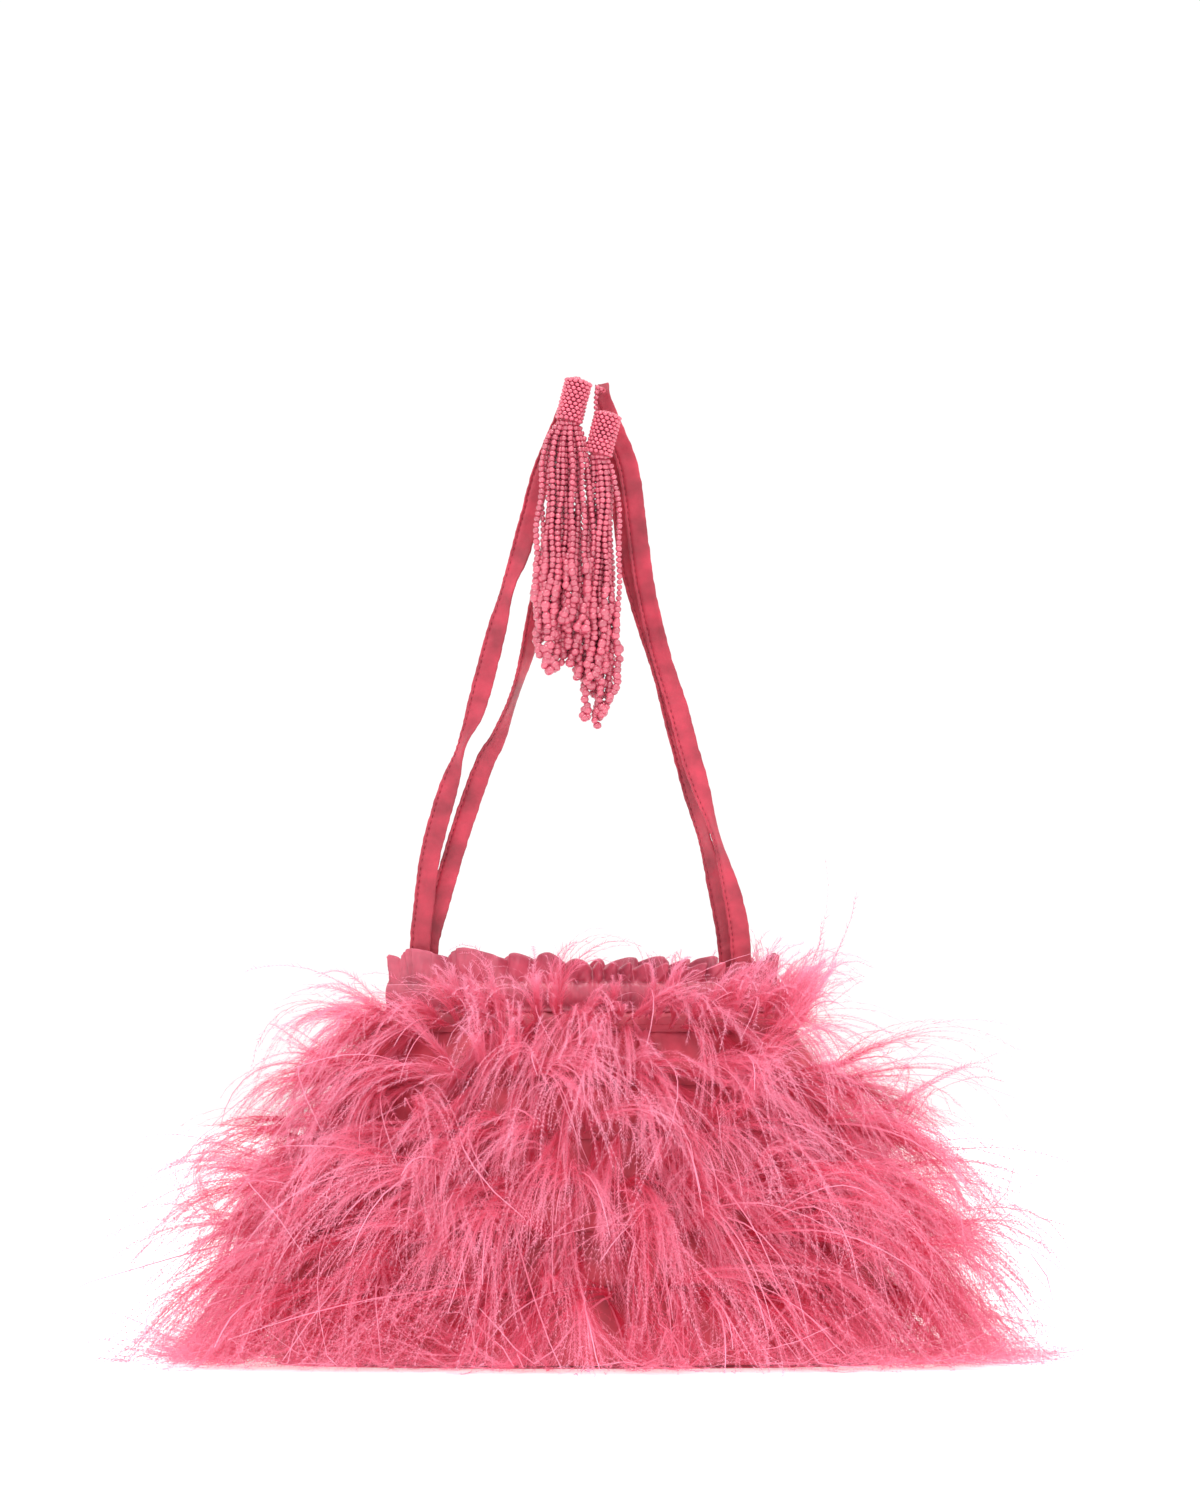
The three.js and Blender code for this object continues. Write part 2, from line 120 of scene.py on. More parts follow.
class PouchSizes(PropertyGroup):
    barb_length: FloatProperty(
        name="Barb length", description="Usual length of a feather barb",
        unit="LENGTH", subtype="DISTANCE", default=0.096,
    )
    barb_width: FloatProperty(
        name="Barb width", description="Width of a barb's shaft at its root",
        unit="LENGTH", subtype="DISTANCE", default=0.00034,
    )
    locks_per_row: IntProperty(
        name="Locks per row", description="Locks of feather sewn to each tape", default=118, min=1,
    )
    barbs_per_lock: IntProperty(
        name="Barbs per lock", description="Barbs in each lock", default=14, min=1,
    )
    ribbon_width: FloatProperty(
        name="Ribbon width", description="Width of a drawcord laid flat",
        unit="LENGTH", subtype="DISTANCE", default=0.0082,
    )
    bead_size: FloatProperty(
        name="Bead size", description="Outer diameter of a seed bead",
        unit="LENGTH", subtype="DISTANCE", default=0.0026,
    )


def sizes():
    return bpy.context.scene.pouch_sizes


def colours():
    return bpy.context.scene.pouch_colours


# ---- meshes -------------------------------------------------------------------------------------


def place(mesh, body, material, stands_for=()):
    """A new object at the origin, riding on a CAD body."""
    piece = bpy.data.objects.new(mesh.name, mesh)
    bpy.context.scene.collection.objects.link(piece)
    mesh.materials.append(material)
    if body:
        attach(piece, body)
    if stands_for:
        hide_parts(*stands_for)
    return piece


def mesh_from_arrays(name, points, blocks, uv=None):
    """A mesh from points and blocks of faces; each block is an array with one row per face."""
    mesh = bpy.data.meshes.new(name)
    mesh.vertices.add(len(points))
    mesh.vertices.foreach_set("co", np.asarray(points, np.float32).ravel())
    corners = np.concatenate([block.ravel() for block in blocks]).astype(np.int32)
    counts = np.concatenate([np.full(len(block), block.shape[1]) for block in blocks])
    starts = np.concatenate([[0], np.cumsum(counts)[:-1]]).astype(np.int32)
    mesh.loops.add(len(corners))
    mesh.loops.foreach_set("vertex_index", corners)
    mesh.polygons.add(len(counts))
    mesh.polygons.foreach_set("loop_start", starts)
    mesh.polygons.foreach_set("use_smooth", np.ones(len(counts), bool))
    if uv is not None:
        layer = mesh.uv_layers.new(name="OFBake")
        layer.data.foreach_set("uv", np.asarray(uv, np.float32)[corners].ravel())
    mesh.update(calc_edges=True)
    mesh.validate()
    return mesh


def mesh_from_bmesh(name, shape, smooth=True):
    """A mesh with its faces outward; the bmesh is used up."""
    bmesh.ops.recalc_face_normals(shape, faces=shape.faces)
    for face in shape.faces:
        face.smooth = smooth
    mesh = bpy.data.meshes.new(name)
    shape.to_mesh(mesh)
    shape.free()
    return mesh


def unit(vectors):
    """The same directions, one long."""
    length = np.linalg.norm(vectors, axis=-1, keepdims=True)
    return vectors / np.maximum(length, 1e-9)


def smooth_path(points, steps):
    """Points evenly spaced along a smooth curve through the given ones."""
    given = np.asarray(points, float)
    ends = np.vstack([2 * given[0] - given[1], given, 2 * given[-1] - given[-2]])
    parts = []
    share = np.linspace(0, 1, 12, endpoint=False)[:, None]
    for i in range(1, len(ends) - 2):
        a, b, c, d = ends[i - 1 : i + 3]
        parts.append(
            0.5 * (2 * b + (c - a) * share + (2 * a - 5 * b + 4 * c - d) * share**2
                   + (3 * b - a - 3 * c + d) * share**3)
        )
    fine = np.vstack(parts + [given[-1:]])
    along = np.concatenate([[0], np.cumsum(np.linalg.norm(np.diff(fine, axis=0), axis=1))])
    wanted = np.linspace(0, along[-1], steps + 1)
    return np.stack([np.interp(wanted, along, fine[:, k]) for k in range(3)], axis=1)


def swept_mesh(name, rings):
    """A skin over rows of closed rings; rows that meet or shrink to a point are joined there."""
    rows, count = rings.shape[:2]
    shape = bmesh.new()
    bmesh.ops.create_grid(shape, x_segments=count, y_segments=rows - 1, size=1)
    for vertex in shape.verts:
        column = round((vertex.co.x + 1) / 2 * count) % count
        row = round((vertex.co.y + 1) / 2 * (rows - 1))
        vertex.co = rings[row, column]
    bmesh.ops.remove_doubles(shape, verts=shape.verts, dist=0.001 * MM)
    return mesh_from_bmesh(name, shape)


def once_round(count):
    """Even angles round a closed ring, without the last, which would repeat the first."""
    return np.linspace(0, TURN, count, endpoint=False)


def waves(rng, turns, counts):
    """A seeded wavy line round a loop, between about -1 and 1."""
    total = sum(
        np.sin(count * turns + rng.uniform(0, TURN)) * rng.uniform(0.6, 1.0) for count in counts
    )
    return total / len(counts) ** 0.7


STITCH_FACES = np.array(
    [(0, 2, 4), (2, 1, 4), (1, 3, 4), (3, 0, 4), (2, 0, 5), (1, 2, 5), (3, 1, 5), (0, 3, 5)]
)


def sew(name, body, rows, long, thick, finish="thread"):
    """Rows of small stitches as one piece; a row holds middles, ways along and ways out."""
    middles, along, up = (np.concatenate(parts) for parts in zip(*rows))
    across = unit(np.cross(along, up))
    points = [
        middle
        for way, size in ((along, long), (across, thick), (up, thick))
        for middle in (middles + way * size / 2, middles - way * size / 2)
    ]
    points = np.stack(points, axis=1).reshape(-1, 3)
    faces = (np.arange(len(middles)) * 6)[:, None, None] + STITCH_FACES[None]
    mesh = mesh_from_arrays(name, points, [faces.reshape(-1, 3)])
    return place(mesh, body, named_cloth(finish))


def flat_section(half_tall, half_thick, roundness):
    """Twelve places round a flat band with rounded edges, and the first again: up and out."""
    turns = np.linspace(0, TURN, 13)
    tall = np.sign(np.sin(turns)) * np.abs(np.sin(turns)) ** roundness * half_tall
    return tall, np.cos(turns) * half_thick


# ---- the oval wall ------------------------------------------------------------------------------


def wall_half_sizes(height):
    """Half the width and half the depth of the bag wall at a height."""
    share = np.clip(np.asarray(height) / NECK_HEIGHT, 0, 1)
    spread = np.cos(math.pi / 2 * share**NARROWING)
    wide = NECK_HALF_WIDTH + (BASE_HALF_WIDTH - NECK_HALF_WIDTH) * spread
    deep = NECK_HALF_DEPTH + (BASE_HALF_DEPTH - NECK_HALF_DEPTH) * spread
    return wide, deep


def wall_point(angle, height, offset=0.0):
    """A point on the wall at an angle round it, or off it by the offset."""
    wide, deep = wall_half_sizes(height)
    x = (wide + offset) * np.cos(angle)
    y = (deep + offset) * np.sin(angle)
    return np.stack([x, y, np.broadcast_to(height, np.shape(x))], axis=-1)


def even_angles(count, height, start=0.0):
    """Angles that give evenly spaced points round the oval at a height."""
    fine = np.linspace(0, TURN, 721)  # every half degree
    ring = wall_point(fine, height)
    along = np.concatenate([[0], np.cumsum(np.linalg.norm(np.diff(ring, axis=0), axis=1))])
    wanted = (np.arange(count) / count + start) % 1 * along[-1]
    return np.interp(wanted, along, fine)


def wall_seam(spots, height, offset):
    """A row of stitches round the wall: middles, ways along and ways out."""
    points = wall_point(spots, height, offset)
    ahead = unit(wall_point(spots + 0.01, height, offset) - points)
    return points, ahead, unit(np.cross(ahead, [0, 0, 1]))


# ---- materials ----------------------------------------------------------------------------------


def node_group(name, inputs, outputs):
    group = bpy.data.node_groups.new(name, "ShaderNodeTree")
    for label, kind, value in inputs:
        socket = group.interface.new_socket(label, in_out="INPUT", socket_type=kind)
        if value is not None:
            socket.default_value = value
    for label, kind in outputs:
        group.interface.new_socket(label, in_out="OUTPUT", socket_type=kind)
    return group, group.nodes.new("NodeGroupInput"), group.nodes.new("NodeGroupOutput")


# Inputs whose names aren't their words with capitals
INPUT_NAMES = {"ior": "IOR", "specular": "Specular IOR Level"}


def set_inputs(node, **values):
    for key, value in values.items():
        label = INPUT_NAMES.get(key, key.replace("_", " ").title())
        node.inputs[label].default_value = value


def add_node(tree, kind, **values):
    """A new node; a value that isn't one of its settings goes to the input of that name."""
    node = tree.nodes.new(kind)
    for key, value in values.items():
        if hasattr(node, key):
            setattr(node, key, value)
        else:
            set_inputs(node, **{key: value})
    return node


def join(tree, start, end):
    tree.links.new(start, end)


def weave_group():
    """Warp and weft as a height, and slow changes of shade across the cloth."""
    if "cloth weave" in bpy.data.node_groups:
        return bpy.data.node_groups["cloth weave"]
    group, given, result = node_group(
        "cloth weave",
        [("Vector", "NodeSocketVector", None), ("Threads", "NodeSocketFloat", 3000.0),
         ("Patches", "NodeSocketFloat", 90.0)],
        [("Height", "NodeSocketFloat"), ("Shade", "NodeSocketFloat")],
    )
    both = add_node(group, "ShaderNodeMath", operation="ADD")
    for index, direction in enumerate("XZ"):
        threads = add_node(
            group, "ShaderNodeTexWave", wave_type="BANDS", bands_direction=direction, distortion=1.5
        )
        join(group, given.outputs["Vector"], threads.inputs["Vector"])
        join(group, given.outputs["Threads"], threads.inputs["Scale"])
        join(group, threads.outputs["Fac"], both.inputs[index])
    patches = add_node(group, "ShaderNodeTexNoise", detail=3.0)
    join(group, given.outputs["Vector"], patches.inputs["Vector"])
    join(group, given.outputs["Patches"], patches.inputs["Scale"])
    join(group, both.outputs[0], result.inputs["Height"])
    join(group, patches.outputs["Fac"], result.inputs["Shade"])
    return group


def new_material(name, **shader):
    """A new material, its node tree and its Principled BSDF, with the shader's inputs set."""
    material = bpy.data.materials.new(name)
    material.use_nodes = True
    principled = material.node_tree.nodes["Principled BSDF"]
    set_inputs(principled, **shader)
    return material, material.node_tree, principled


def shade_colour(colour, factor):
    """The same colour, darker or lighter."""
    return tuple(min(1.0, c * factor) for c in colour[:3]) + (1.0,)


def ramp(tree, source, low, high, low_at=0.3, high_at=0.7):
    """A colour that goes from one to the other as the source rises."""
    node = tree.nodes.new("ShaderNodeValToRGB")
    for stop, position, colour in zip(node.color_ramp.elements, (low_at, high_at), (low, high)):
        stop.position = position
        stop.color = colour
    join(tree, source, node.inputs["Fac"])
    return node.outputs["Color"]


def made_once(name, make):
    """The material of that name, made the first time it is asked for."""
    if name not in bpy.data.materials:
        make(name)
    return bpy.data.materials[name]


def cloth_material(
    name, colour, roughness, dark=0.78, light=1.12, threads=1600.0, sheen=0.3, crumpled=0.25
):
    """Satin and tape: fine threads, slow shade changes and small creases."""
    material, tree, principled = new_material(
        name, roughness=roughness, sheen_weight=sheen, sheen_roughness=0.35,
        sheen_tint=shade_colour(colour, 1.6), anisotropic=0.4,
    )
    here = tree.nodes.new("ShaderNodeTexCoord").outputs["Object"]
    weave = tree.nodes.new("ShaderNodeGroup")
    weave.node_tree = weave_group()
    set_inputs(weave, threads=threads)
    join(tree, here, weave.inputs["Vector"])
    shades = shade_colour(colour, dark), shade_colour(colour, light)
    join(tree, ramp(tree, weave.outputs["Shade"], *shades), principled.inputs["Base Color"])
    creases = add_node(tree, "ShaderNodeTexNoise", scale=220.0, detail=4.0)
    join(tree, here, creases.inputs["Vector"])
    crumple = add_node(tree, "ShaderNodeBump", strength=crumpled, distance=0.6 * MM)
    join(tree, creases.outputs["Fac"], crumple.inputs["Height"])
    bump = add_node(tree, "ShaderNodeBump", strength=0.3, distance=0.05 * MM)
    join(tree, weave.outputs["Height"], bump.inputs["Height"])
    join(tree, crumple.outputs["Normal"], bump.inputs["Normal"])
    join(tree, bump.outputs["Normal"], principled.inputs["Normal"])
    return material


def palette_colour(tree, across_shades, along_shades):
    """Colour from a piece's palette map: across it one shade per strand, up it root to tip."""
    uv = add_node(tree, "ShaderNodeUVMap", uv_map="OFBake")
    split = tree.nodes.new("ShaderNodeSeparateXYZ")
    join(tree, uv.outputs["UV"], split.inputs["Vector"])
    across = ramp(tree, split.outputs["X"], *across_shades, low_at=0.0, high_at=1.0)
    along = ramp(tree, split.outputs["Y"], *along_shades, low_at=0.3, high_at=1.0)
    blend = add_node(tree, "ShaderNodeMix", data_type="RGBA")
    blend.inputs[0].default_value = 0.5
    join(tree, across, blend.inputs[6])
    join(tree, along, blend.inputs[7])
    return blend.outputs[2]


def feather_material(name):
    """Barbs that let some light through."""
    body, tip = colours().feather, colours().feather_tip
    _, tree, principled = new_material(name, roughness=0.65, specular=0.05)
    colour = palette_colour(
        tree,
        (shade_colour(body, 0.72), shade_colour(tip, 1.25)),
        (shade_colour(body, 0.95), tuple(tip)),
    )
    join(tree, colour, principled.inputs["Base Color"])
    through = tree.nodes.new("ShaderNodeBsdfTranslucent")
    join(tree, colour, through.inputs["Color"])
    thin = add_node(tree, "ShaderNodeMixShader", fac=0.4)
    join(tree, principled.outputs["BSDF"], thin.inputs[1])
    join(tree, through.outputs["BSDF"], thin.inputs[2])
    join(tree, thin.outputs["Shader"], tree.nodes["Material Output"].inputs["Surface"])


def bead_material(name):
    """Glazed glass, a little different in shade from bead to bead."""
    colour = colours().bead
    _, tree, principled = new_material(
        name, roughness=0.25, ior=1.7, coat_weight=0.5, coat_roughness=0.1
    )
    tint = palette_colour(
        tree,
        (shade_colour(colour, 0.75), shade_colour(colour, 1.8)),
        (shade_colour(colour, 0.9), shade_colour(colour, 1.15)),
    )
    join(tree, tint, principled.inputs["Base Color"])


def named_cloth(name):
    """The cloth, thread or board finish of that name."""
    satin, ribbon = colours().satin, colours().ribbon
    finishes = {
        "satin": dict(colour=satin, roughness=0.28, dark=0.75, light=1.2),
        "frill": dict(
            colour=colours().frill, roughness=0.2, dark=0.7, light=1.3, crumpled=0.6
        ),
        "lining": dict(colour=shade_colour(satin, 0.85), roughness=0.5, sheen=0.1),
        "ribbon": dict(colour=ribbon, roughness=0.42, dark=0.7, light=1.45, crumpled=0.5),
        "seam": dict(colour=shade_colour(ribbon, 0.6), roughness=0.5, threads=2400.0),
        "tape": dict(colour=shade_colour(satin, 0.8), roughness=0.7, threads=900.0),
        "thread": dict(colour=shade_colour(satin, 0.95), roughness=0.5, threads=2400.0),
        "core": dict(colour=shade_colour(satin, 0.8), roughness=0.6, threads=2400.0),
        "board": dict(colour=(0.52, 0.42, 0.32, 1), roughness=0.9, threads=500.0, sheen=0.0),
    }
    return made_once(f"{name} finish", lambda full: cloth_material(full, **finishes[name]))


# ---- satin bag ----------------------------------------------------------------------------------

CLOTH = 0.5 * MM
HEM = 1.2 * MM  # the shell starts this far above the shell's own CAD foot
SAG_SPACING = 7 * MM
TAPE_LIFT = 1.1 * MM  # the middle of a tape off the wall
TAPE_HALF_THICK = 0.38 * MM
TAPE_STITCHES = 150


def wall_rings(turns, heights, offsets):
    """Rings round the wall at the given heights, each off the wall by its offset."""
    return np.stack([wall_point(turns, z, o) for z, o in zip(heights, offsets)])


def satin_shell():
    """The outer cloth: soft folds run down from the gathered neck and fade towards the base."""
    rng = np.random.default_rng(11)
    turns = once_round(480)
    heights = np.linspace(SHELL_LOW[2] + HEM, NECK_HEIGHT, 56)
    gathers = waves(rng, turns, (31, 44, 67))
    sags = waves(rng, turns, (5, 8, 13))
    rows = []
    for z in heights:
        share = z / NECK_HEIGHT
        slack = np.sin(z / SAG_SPACING + 2.5 * sags) * 0.22 * (1 - share)
        rows.append((gathers * 0.5 * share**2 + slack + 0.1 * sags) * MM)
    outer = wall_rings(turns, heights, rows)
    inner = wall_rings(turns, heights[::-1], [row - CLOTH for row in rows[::-1]])
    mesh = swept_mesh("satin_shell", np.concatenate([outer, inner, outer[:1]]))
    replaced = ["satin_shell_front", "satin_shell_back"]
    place(mesh, "bag", named_cloth("satin"), replaced)


def lining():
    """The inner bag, open at the mouth, with a flat floor on the base board."""
    rng = np.random.default_rng(12)
    turns = once_round(320)
    low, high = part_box("lining_bag")
    inset = low[1] + BASE_HALF_DEPTH
    heights = np.linspace(low[2] + 1.5 * MM, high[2], 30)
    creases = waves(rng, turns, (9, 14, 23)) * 0.25 * MM
    outer = wall_rings(turns, heights, [creases - inset] * len(heights))
    inner = wall_rings(turns, heights[::-1], [creases - inset - CLOTH] * len(heights))
    spread = np.array([0.985, 0.96, 0.7, 0.35, 0.0])[:, None, None]
    centre = np.array([0, 0, low[2]])
    bottom = centre + (outer[0] * [1, 1, 0]) * spread[::-1]
    floor = centre + [0, 0, CLOTH] + (inner[-1] * [1, 1, 0]) * spread
    mesh = swept_mesh("lining", np.concatenate([bottom, outer, inner, floor]))
    place(mesh, "bag", named_cloth("lining"), ["lining_bag"])


def base_panel():
    """The satin oval under the bag, with a rounded edge."""
    low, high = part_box("base_panel")
    shape = bmesh.new()
    bmesh.ops.create_circle(shape, cap_ends=True, segments=96, radius=1)
    bmesh.ops.scale(shape, vec=(high[0], high[1], 1), verts=shape.verts)
    bmesh.ops.translate(shape, vec=(0, 0, low[2]), verts=shape.verts)
    grown = bmesh.ops.extrude_face_region(shape, geom=shape.faces[:])
    lifted = [part for part in grown["geom"] if isinstance(part, bmesh.types.BMVert)]
    bmesh.ops.translate(shape, vec=(0, 0, high[2] - low[2]), verts=lifted)
    rim = [edge for edge in shape.edges if abs(edge.verts[0].co.z - edge.verts[1].co.z) < 1e-6]
    bmesh.ops.bevel(
        shape, geom=rim, offset=0.25 * MM, segments=3, profile=0.5, affect="EDGES", material=-1
    )
    mesh = mesh_from_bmesh("satin_base", shape, smooth=False)
    place(mesh, "bag", named_cloth("satin"), ["base_panel"])


def tape(row):
    """A woven tape sewn round the bag, with the row of stitches that holds its feathers."""
    low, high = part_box(f"feather_tape_{row}")
    middle, half_tall = (low[2] + high[2]) / 2, (high[2] - low[2]) / 2
    lift, out = flat_section(half_tall, TAPE_HALF_THICK, 0.35)
    mesh = swept_mesh(f"tape_{row}", wall_rings(once_round(240), middle + lift, TAPE_LIFT + out))
    place(mesh, "bag", named_cloth("tape"), [f"feather_tape_{row}"])
    seam = wall_seam(even_angles(TAPE_STITCHES, middle), middle, TAPE_LIFT + 0.4 * MM)
    sew(f"tape_stitches_{row}", "bag", [seam], 2.4 * MM, 0.35 * MM)


class POUCH_OT_bag(Operator):
    """Make the satin bag, its base, its lining and the sewn tapes"""

    bl_idname = "pouch.bag"
    bl_label = "Satin bag"

    def execute(self, context):
        satin_shell()
        lining()
        base_panel()
        for row in ROWS:
            tape(row)
        return {"FINISHED"}


# ---- gathered mouth -----------------------------------------------------------------------------

# Where the front frill's pleats meet, from left to right, and how high its edge stands there
PLEAT_ENDS = (-77, -74, -56, -31, -19.6, -6.8, 4.4, 8.8, 15, 21, 29, 35, 43, 50, 58, 65, 72, 77)
EDGE_HEIGHTS = (
    (-77, 160), (-74, 162), (-66, 163.4), (-56, 162.6), (-45, 163.5), (-34, 161.8),
    (-25, 161.2), (-12, 161.4), (-1, 158.7), (8, 157.6), (40, 157.2), (77, 158.5),
)
# From the hem up: height above the casing's foot as a share of its height, and the bulge in mm
CASING_PROFILE = (
    (-0.26, 0.4), (-0.16, 0.8), (-0.05, 0.2), (0.05, 0.9), (0.2, 1.6), (0.4, 2.0),
    (0.6, 2.0), (0.8, 1.6), (0.94, 0.8), (1.0, -0.1),
)
HEM_SHARE = -0.05  # where the casing's lower row of stitches pulls it in
FRILL_SHARES = (0.08, 0.2, 0.35, 0.5, 0.65, 0.8, 0.92, 1.0)
BACK_EDGE = 160.5 * MM
FRILL_CLOTH = 0.7 * MM
MOUTH_CLOTH = 3.6 * MM  # from the outside of the wall to the inside of the channel
MOUTH_STITCHES = 170
CHANNEL_SHARES = (0.9, 0.7, 0.3, 0.05, -0.2)  # heights down the inside, as in the casing's profile
FLARE = (1.0, 7.0)  # how far the frill leans out at its foot, and how much more at its edge, in mm
SCALLOP = 3 * MM  # the frill's edge is this much higher on a pleat than between two


def pleat_depth(x, ends):
    """1 in the middle of a pleat and 0 where two pleats meet."""
    slot = np.clip(np.searchsorted(ends, x) - 1, 0, len(ends) - 2)
    share = (x - ends[slot]) / (ends[slot + 1] - ends[slot])
    return 1 - np.abs(2 * np.clip(share, 0, 1) - 1) ** 2


def mouth_folds(turns):
    """For each angle round the mouth: pleat depth, edge height and fine gathers."""
    rng = np.random.default_rng(21)
    x = NECK_HALF_WIDTH * np.cos(turns) / MM
    back_widths = rng.uniform(6, 15, 40)
    back_ends = -77 + np.concatenate([[0], np.cumsum(back_widths)])
    front = np.sin(turns) < 0
    depth = np.where(
        front, pleat_depth(x, np.array(PLEAT_ENDS, float)), pleat_depth(x, back_ends)
    )
    given = np.array(EDGE_HEIGHTS, float)
    edge = np.interp(x, given[:, 0], given[:, 1]) * MM
    behind = BACK_EDGE + waves(rng, turns, (7, 11, 19)) * 1.4 * MM
    blend = np.clip(0.5 - np.sin(turns) * 4, 0, 1)
    edge = edge * blend + behind * (1 - blend)
    edge += (depth - 0.75) * SCALLOP
    gathers = waves(rng, turns, (83, 119, 157))
    return depth, edge, gathers


def mouth_rings(turns):
    """The cloth from the hem up over the casing and frill, and back down inside."""
    depth, edge, gathers = mouth_folds(turns)
    creases = waves(np.random.default_rng(22), turns, (37, 59, 91))
    tall = CASING_HIGH - CASING_LOW
    soft = 0.5 + 0.5 * depth
    outer = []
    for share, bulge in CASING_PROFILE:
        crimp = gathers * (0.5 if share in (HEM_SHARE, 1.0) else 0.35)
        outer.append((CASING_LOW + share * tall, (bulge * soft + crimp) * MM))
    frill_foot = CASING_HIGH + 0.2 * MM
    for share in FRILL_SHARES:
        height = frill_foot + (edge - frill_foot) * share
        flare = (FLARE[0] + FLARE[1] * share**0.8) * (0.3 + 0.7 * np.abs(np.sin(turns)))
        slanted = np.roll(gathers, int(14 * share))
        crimp = slanted * 0.6 * (1 - 0.6 * share) + creases * 1.1 * share
        outer.append((height, (flare * (depth * 1.2 - 0.65) + crimp) * MM))
    outer_rings = [wall_point(turns, z, o) for z, o in outer]
    rim = wall_point(turns, outer[-1][0] + FRILL_CLOTH / 2, outer[-1][1] - FRILL_CLOTH / 2)
    frill = reversed(outer[len(CASING_PROFILE) - 1 :])
    inner_rings = [wall_point(turns, z, o - FRILL_CLOTH) for z, o in frill]
    for share in CHANNEL_SHARES:
        ring = wall_point(turns, CASING_LOW + share * tall, gathers * 0.2 * MM - MOUTH_CLOTH)
        inner_rings.append(ring)
    rings = outer_rings + [rim] + inner_rings
    return np.stack(rings + [outer_rings[0]])


def gather_with_mouth(piece):
    """Give a piece a mesh of its own, not shared with another."""
    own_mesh(piece)


def cord_run(side, end):
    """The stretch of flat cord that runs round inside the casing."""
    node = f"{side}_cord_run_{end}"
    low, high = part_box(node)
    reach = math.acos(high[0] / (NECK_HALF_WIDTH - 2 * MM))
    turns = np.linspace(reach, math.pi - reach, 90)
    if end == "front":
        turns = -turns
    outermost = -low[1] if end == "front" else high[1]
    middle, half_tall = (low[2] + high[2]) / 2, (high[2] - low[2]) / 2
    lift, out = flat_section(half_tall, 0.3 * MM, 0.4)
    lift = middle + lift[:-1]
    out = outermost - NECK_HALF_DEPTH - 0.35 * MM + out[:-1]
    rings = np.stack([wall_point(turns, z, o) for z, o in zip(lift, out)], axis=1)
    ends = rings[[0, -1]].mean(axis=1, keepdims=True).repeat(len(lift), axis=1)
    mesh = swept_mesh(f"{node}_ribbon", np.concatenate([ends[:1], rings, ends[1:]]))
    gather_with_mouth(place(mesh, "bag", named_cloth("ribbon"), [node]))


class POUCH_OT_mouth(Operator):
    """Make the stitched casing and its pleated frill in one gathered ring"""

    bl_idname = "pouch.mouth"
    bl_label = "Gathered mouth"

    def execute(self, context):
        replaced = [f"{part}_{end}" for part in ("casing", "frill") for end in ENDS]
        replaced += [f"{side}_side_casing" for side in SIDES]
        mesh = swept_mesh("mouth", mouth_rings(once_round(1200)))
        gather_with_mouth(place(mesh, "bag", named_cloth("frill"), replaced))

        spots = even_angles(MOUTH_STITCHES, NECK_HEIGHT)
        heights = (CASING_LOW + HEM_SHARE * (CASING_HIGH - CASING_LOW), CASING_HIGH)
        seams = [wall_seam(spots, height, 0.6 * MM) for height in heights]
        gather_with_mouth(sew("mouth_stitches", "bag", seams, 1.4 * MM, 0.3 * MM))
        for side in SIDES:
            for end in ENDS:
                cord_run(side, end)
        return {"FINISHED"}


# ---- drawcords ----------------------------------------------------------------------------------

# Points along each ribbon's middle, from its front foot over the top to its back foot, in mm
LOOPS = {
    "left": (
        (-64.6, -1.95, 139.6), (-64.6, -1.95, 164.4), (-63.2, -2.2, 180), (-59.6, -3, 206),
        (-48.2, -3.2, 245), (-42.2, -3.2, 261), (-30.2, -3.2, 307), (-25.4, -3.2, 321),
        (-20.6, -3.2, 338), (-16.4, -3.2, 354), (-8.6, -3.2, 374), (-4.9, -3, 385),
        (-4.3, -2.1, 389.6), (-4.2, 0, 391.2), (-4.3, 2.1, 389.6), (-4.9, 3, 385),
        (-6.6, 3.2, 366), (-12.4, 3.2, 328), (-19.4, 3.2, 294), (-25, 3.2, 273),
        (-33.2, 3.2, 250), (-39.2, 3.2, 238.6), (-48.8, 3, 211), (-58, 2.2, 179),
        (-61.4, 1.95, 164.4), (-61.4, 1.95, 139.6),
    ),
    "right": (
        (63.2, -1.95, 139.6), (63.2, -1.95, 164.4), (61, -2.2, 181), (56.4, -3, 199),
        (48.2, -3.2, 226), (42.8, -3.2, 243.4), (38.4, -3.2, 260), (31.6, -3.2, 281.6),
        (25.6, -3.2, 307), (23, -3.2, 324), (18.8, -3.2, 356), (12.2, -3.2, 374),
        (8.5, -3, 385), (8.1, -2.1, 389.6), (8, 0, 391.2), (8.1, 2.1, 389.6), (8.4, 3, 385),
        (10.6, 3.2, 373), (15.2, 3.2, 352), (17.8, 3.2, 326), (24, 3.2, 300),
        (32.6, 3.2, 270), (40.6, 3.2, 242), (47.6, 3, 214), (54, 2.2, 189),
        (58.4, 1.95, 164.4), (58.4, 1.95, 139.6),
    ),
}
# Where a ribbon turns on its side: share of its length, degrees, and over how much of the length
TWISTS = {
    "left": (
        (0.205, 66, 0.028), (0.33, 50, 0.03), (0.5, -12, 0.02), (0.62, 20, 0.05),
        (0.745, 70, 0.055),
    ),
    "right": (
        (0.135, -66, 0.045), (0.3, 20, 0.06), (0.5, 12, 0.02), (0.73, 45, 0.05),
        (0.865, -56, 0.04),
    ),
}
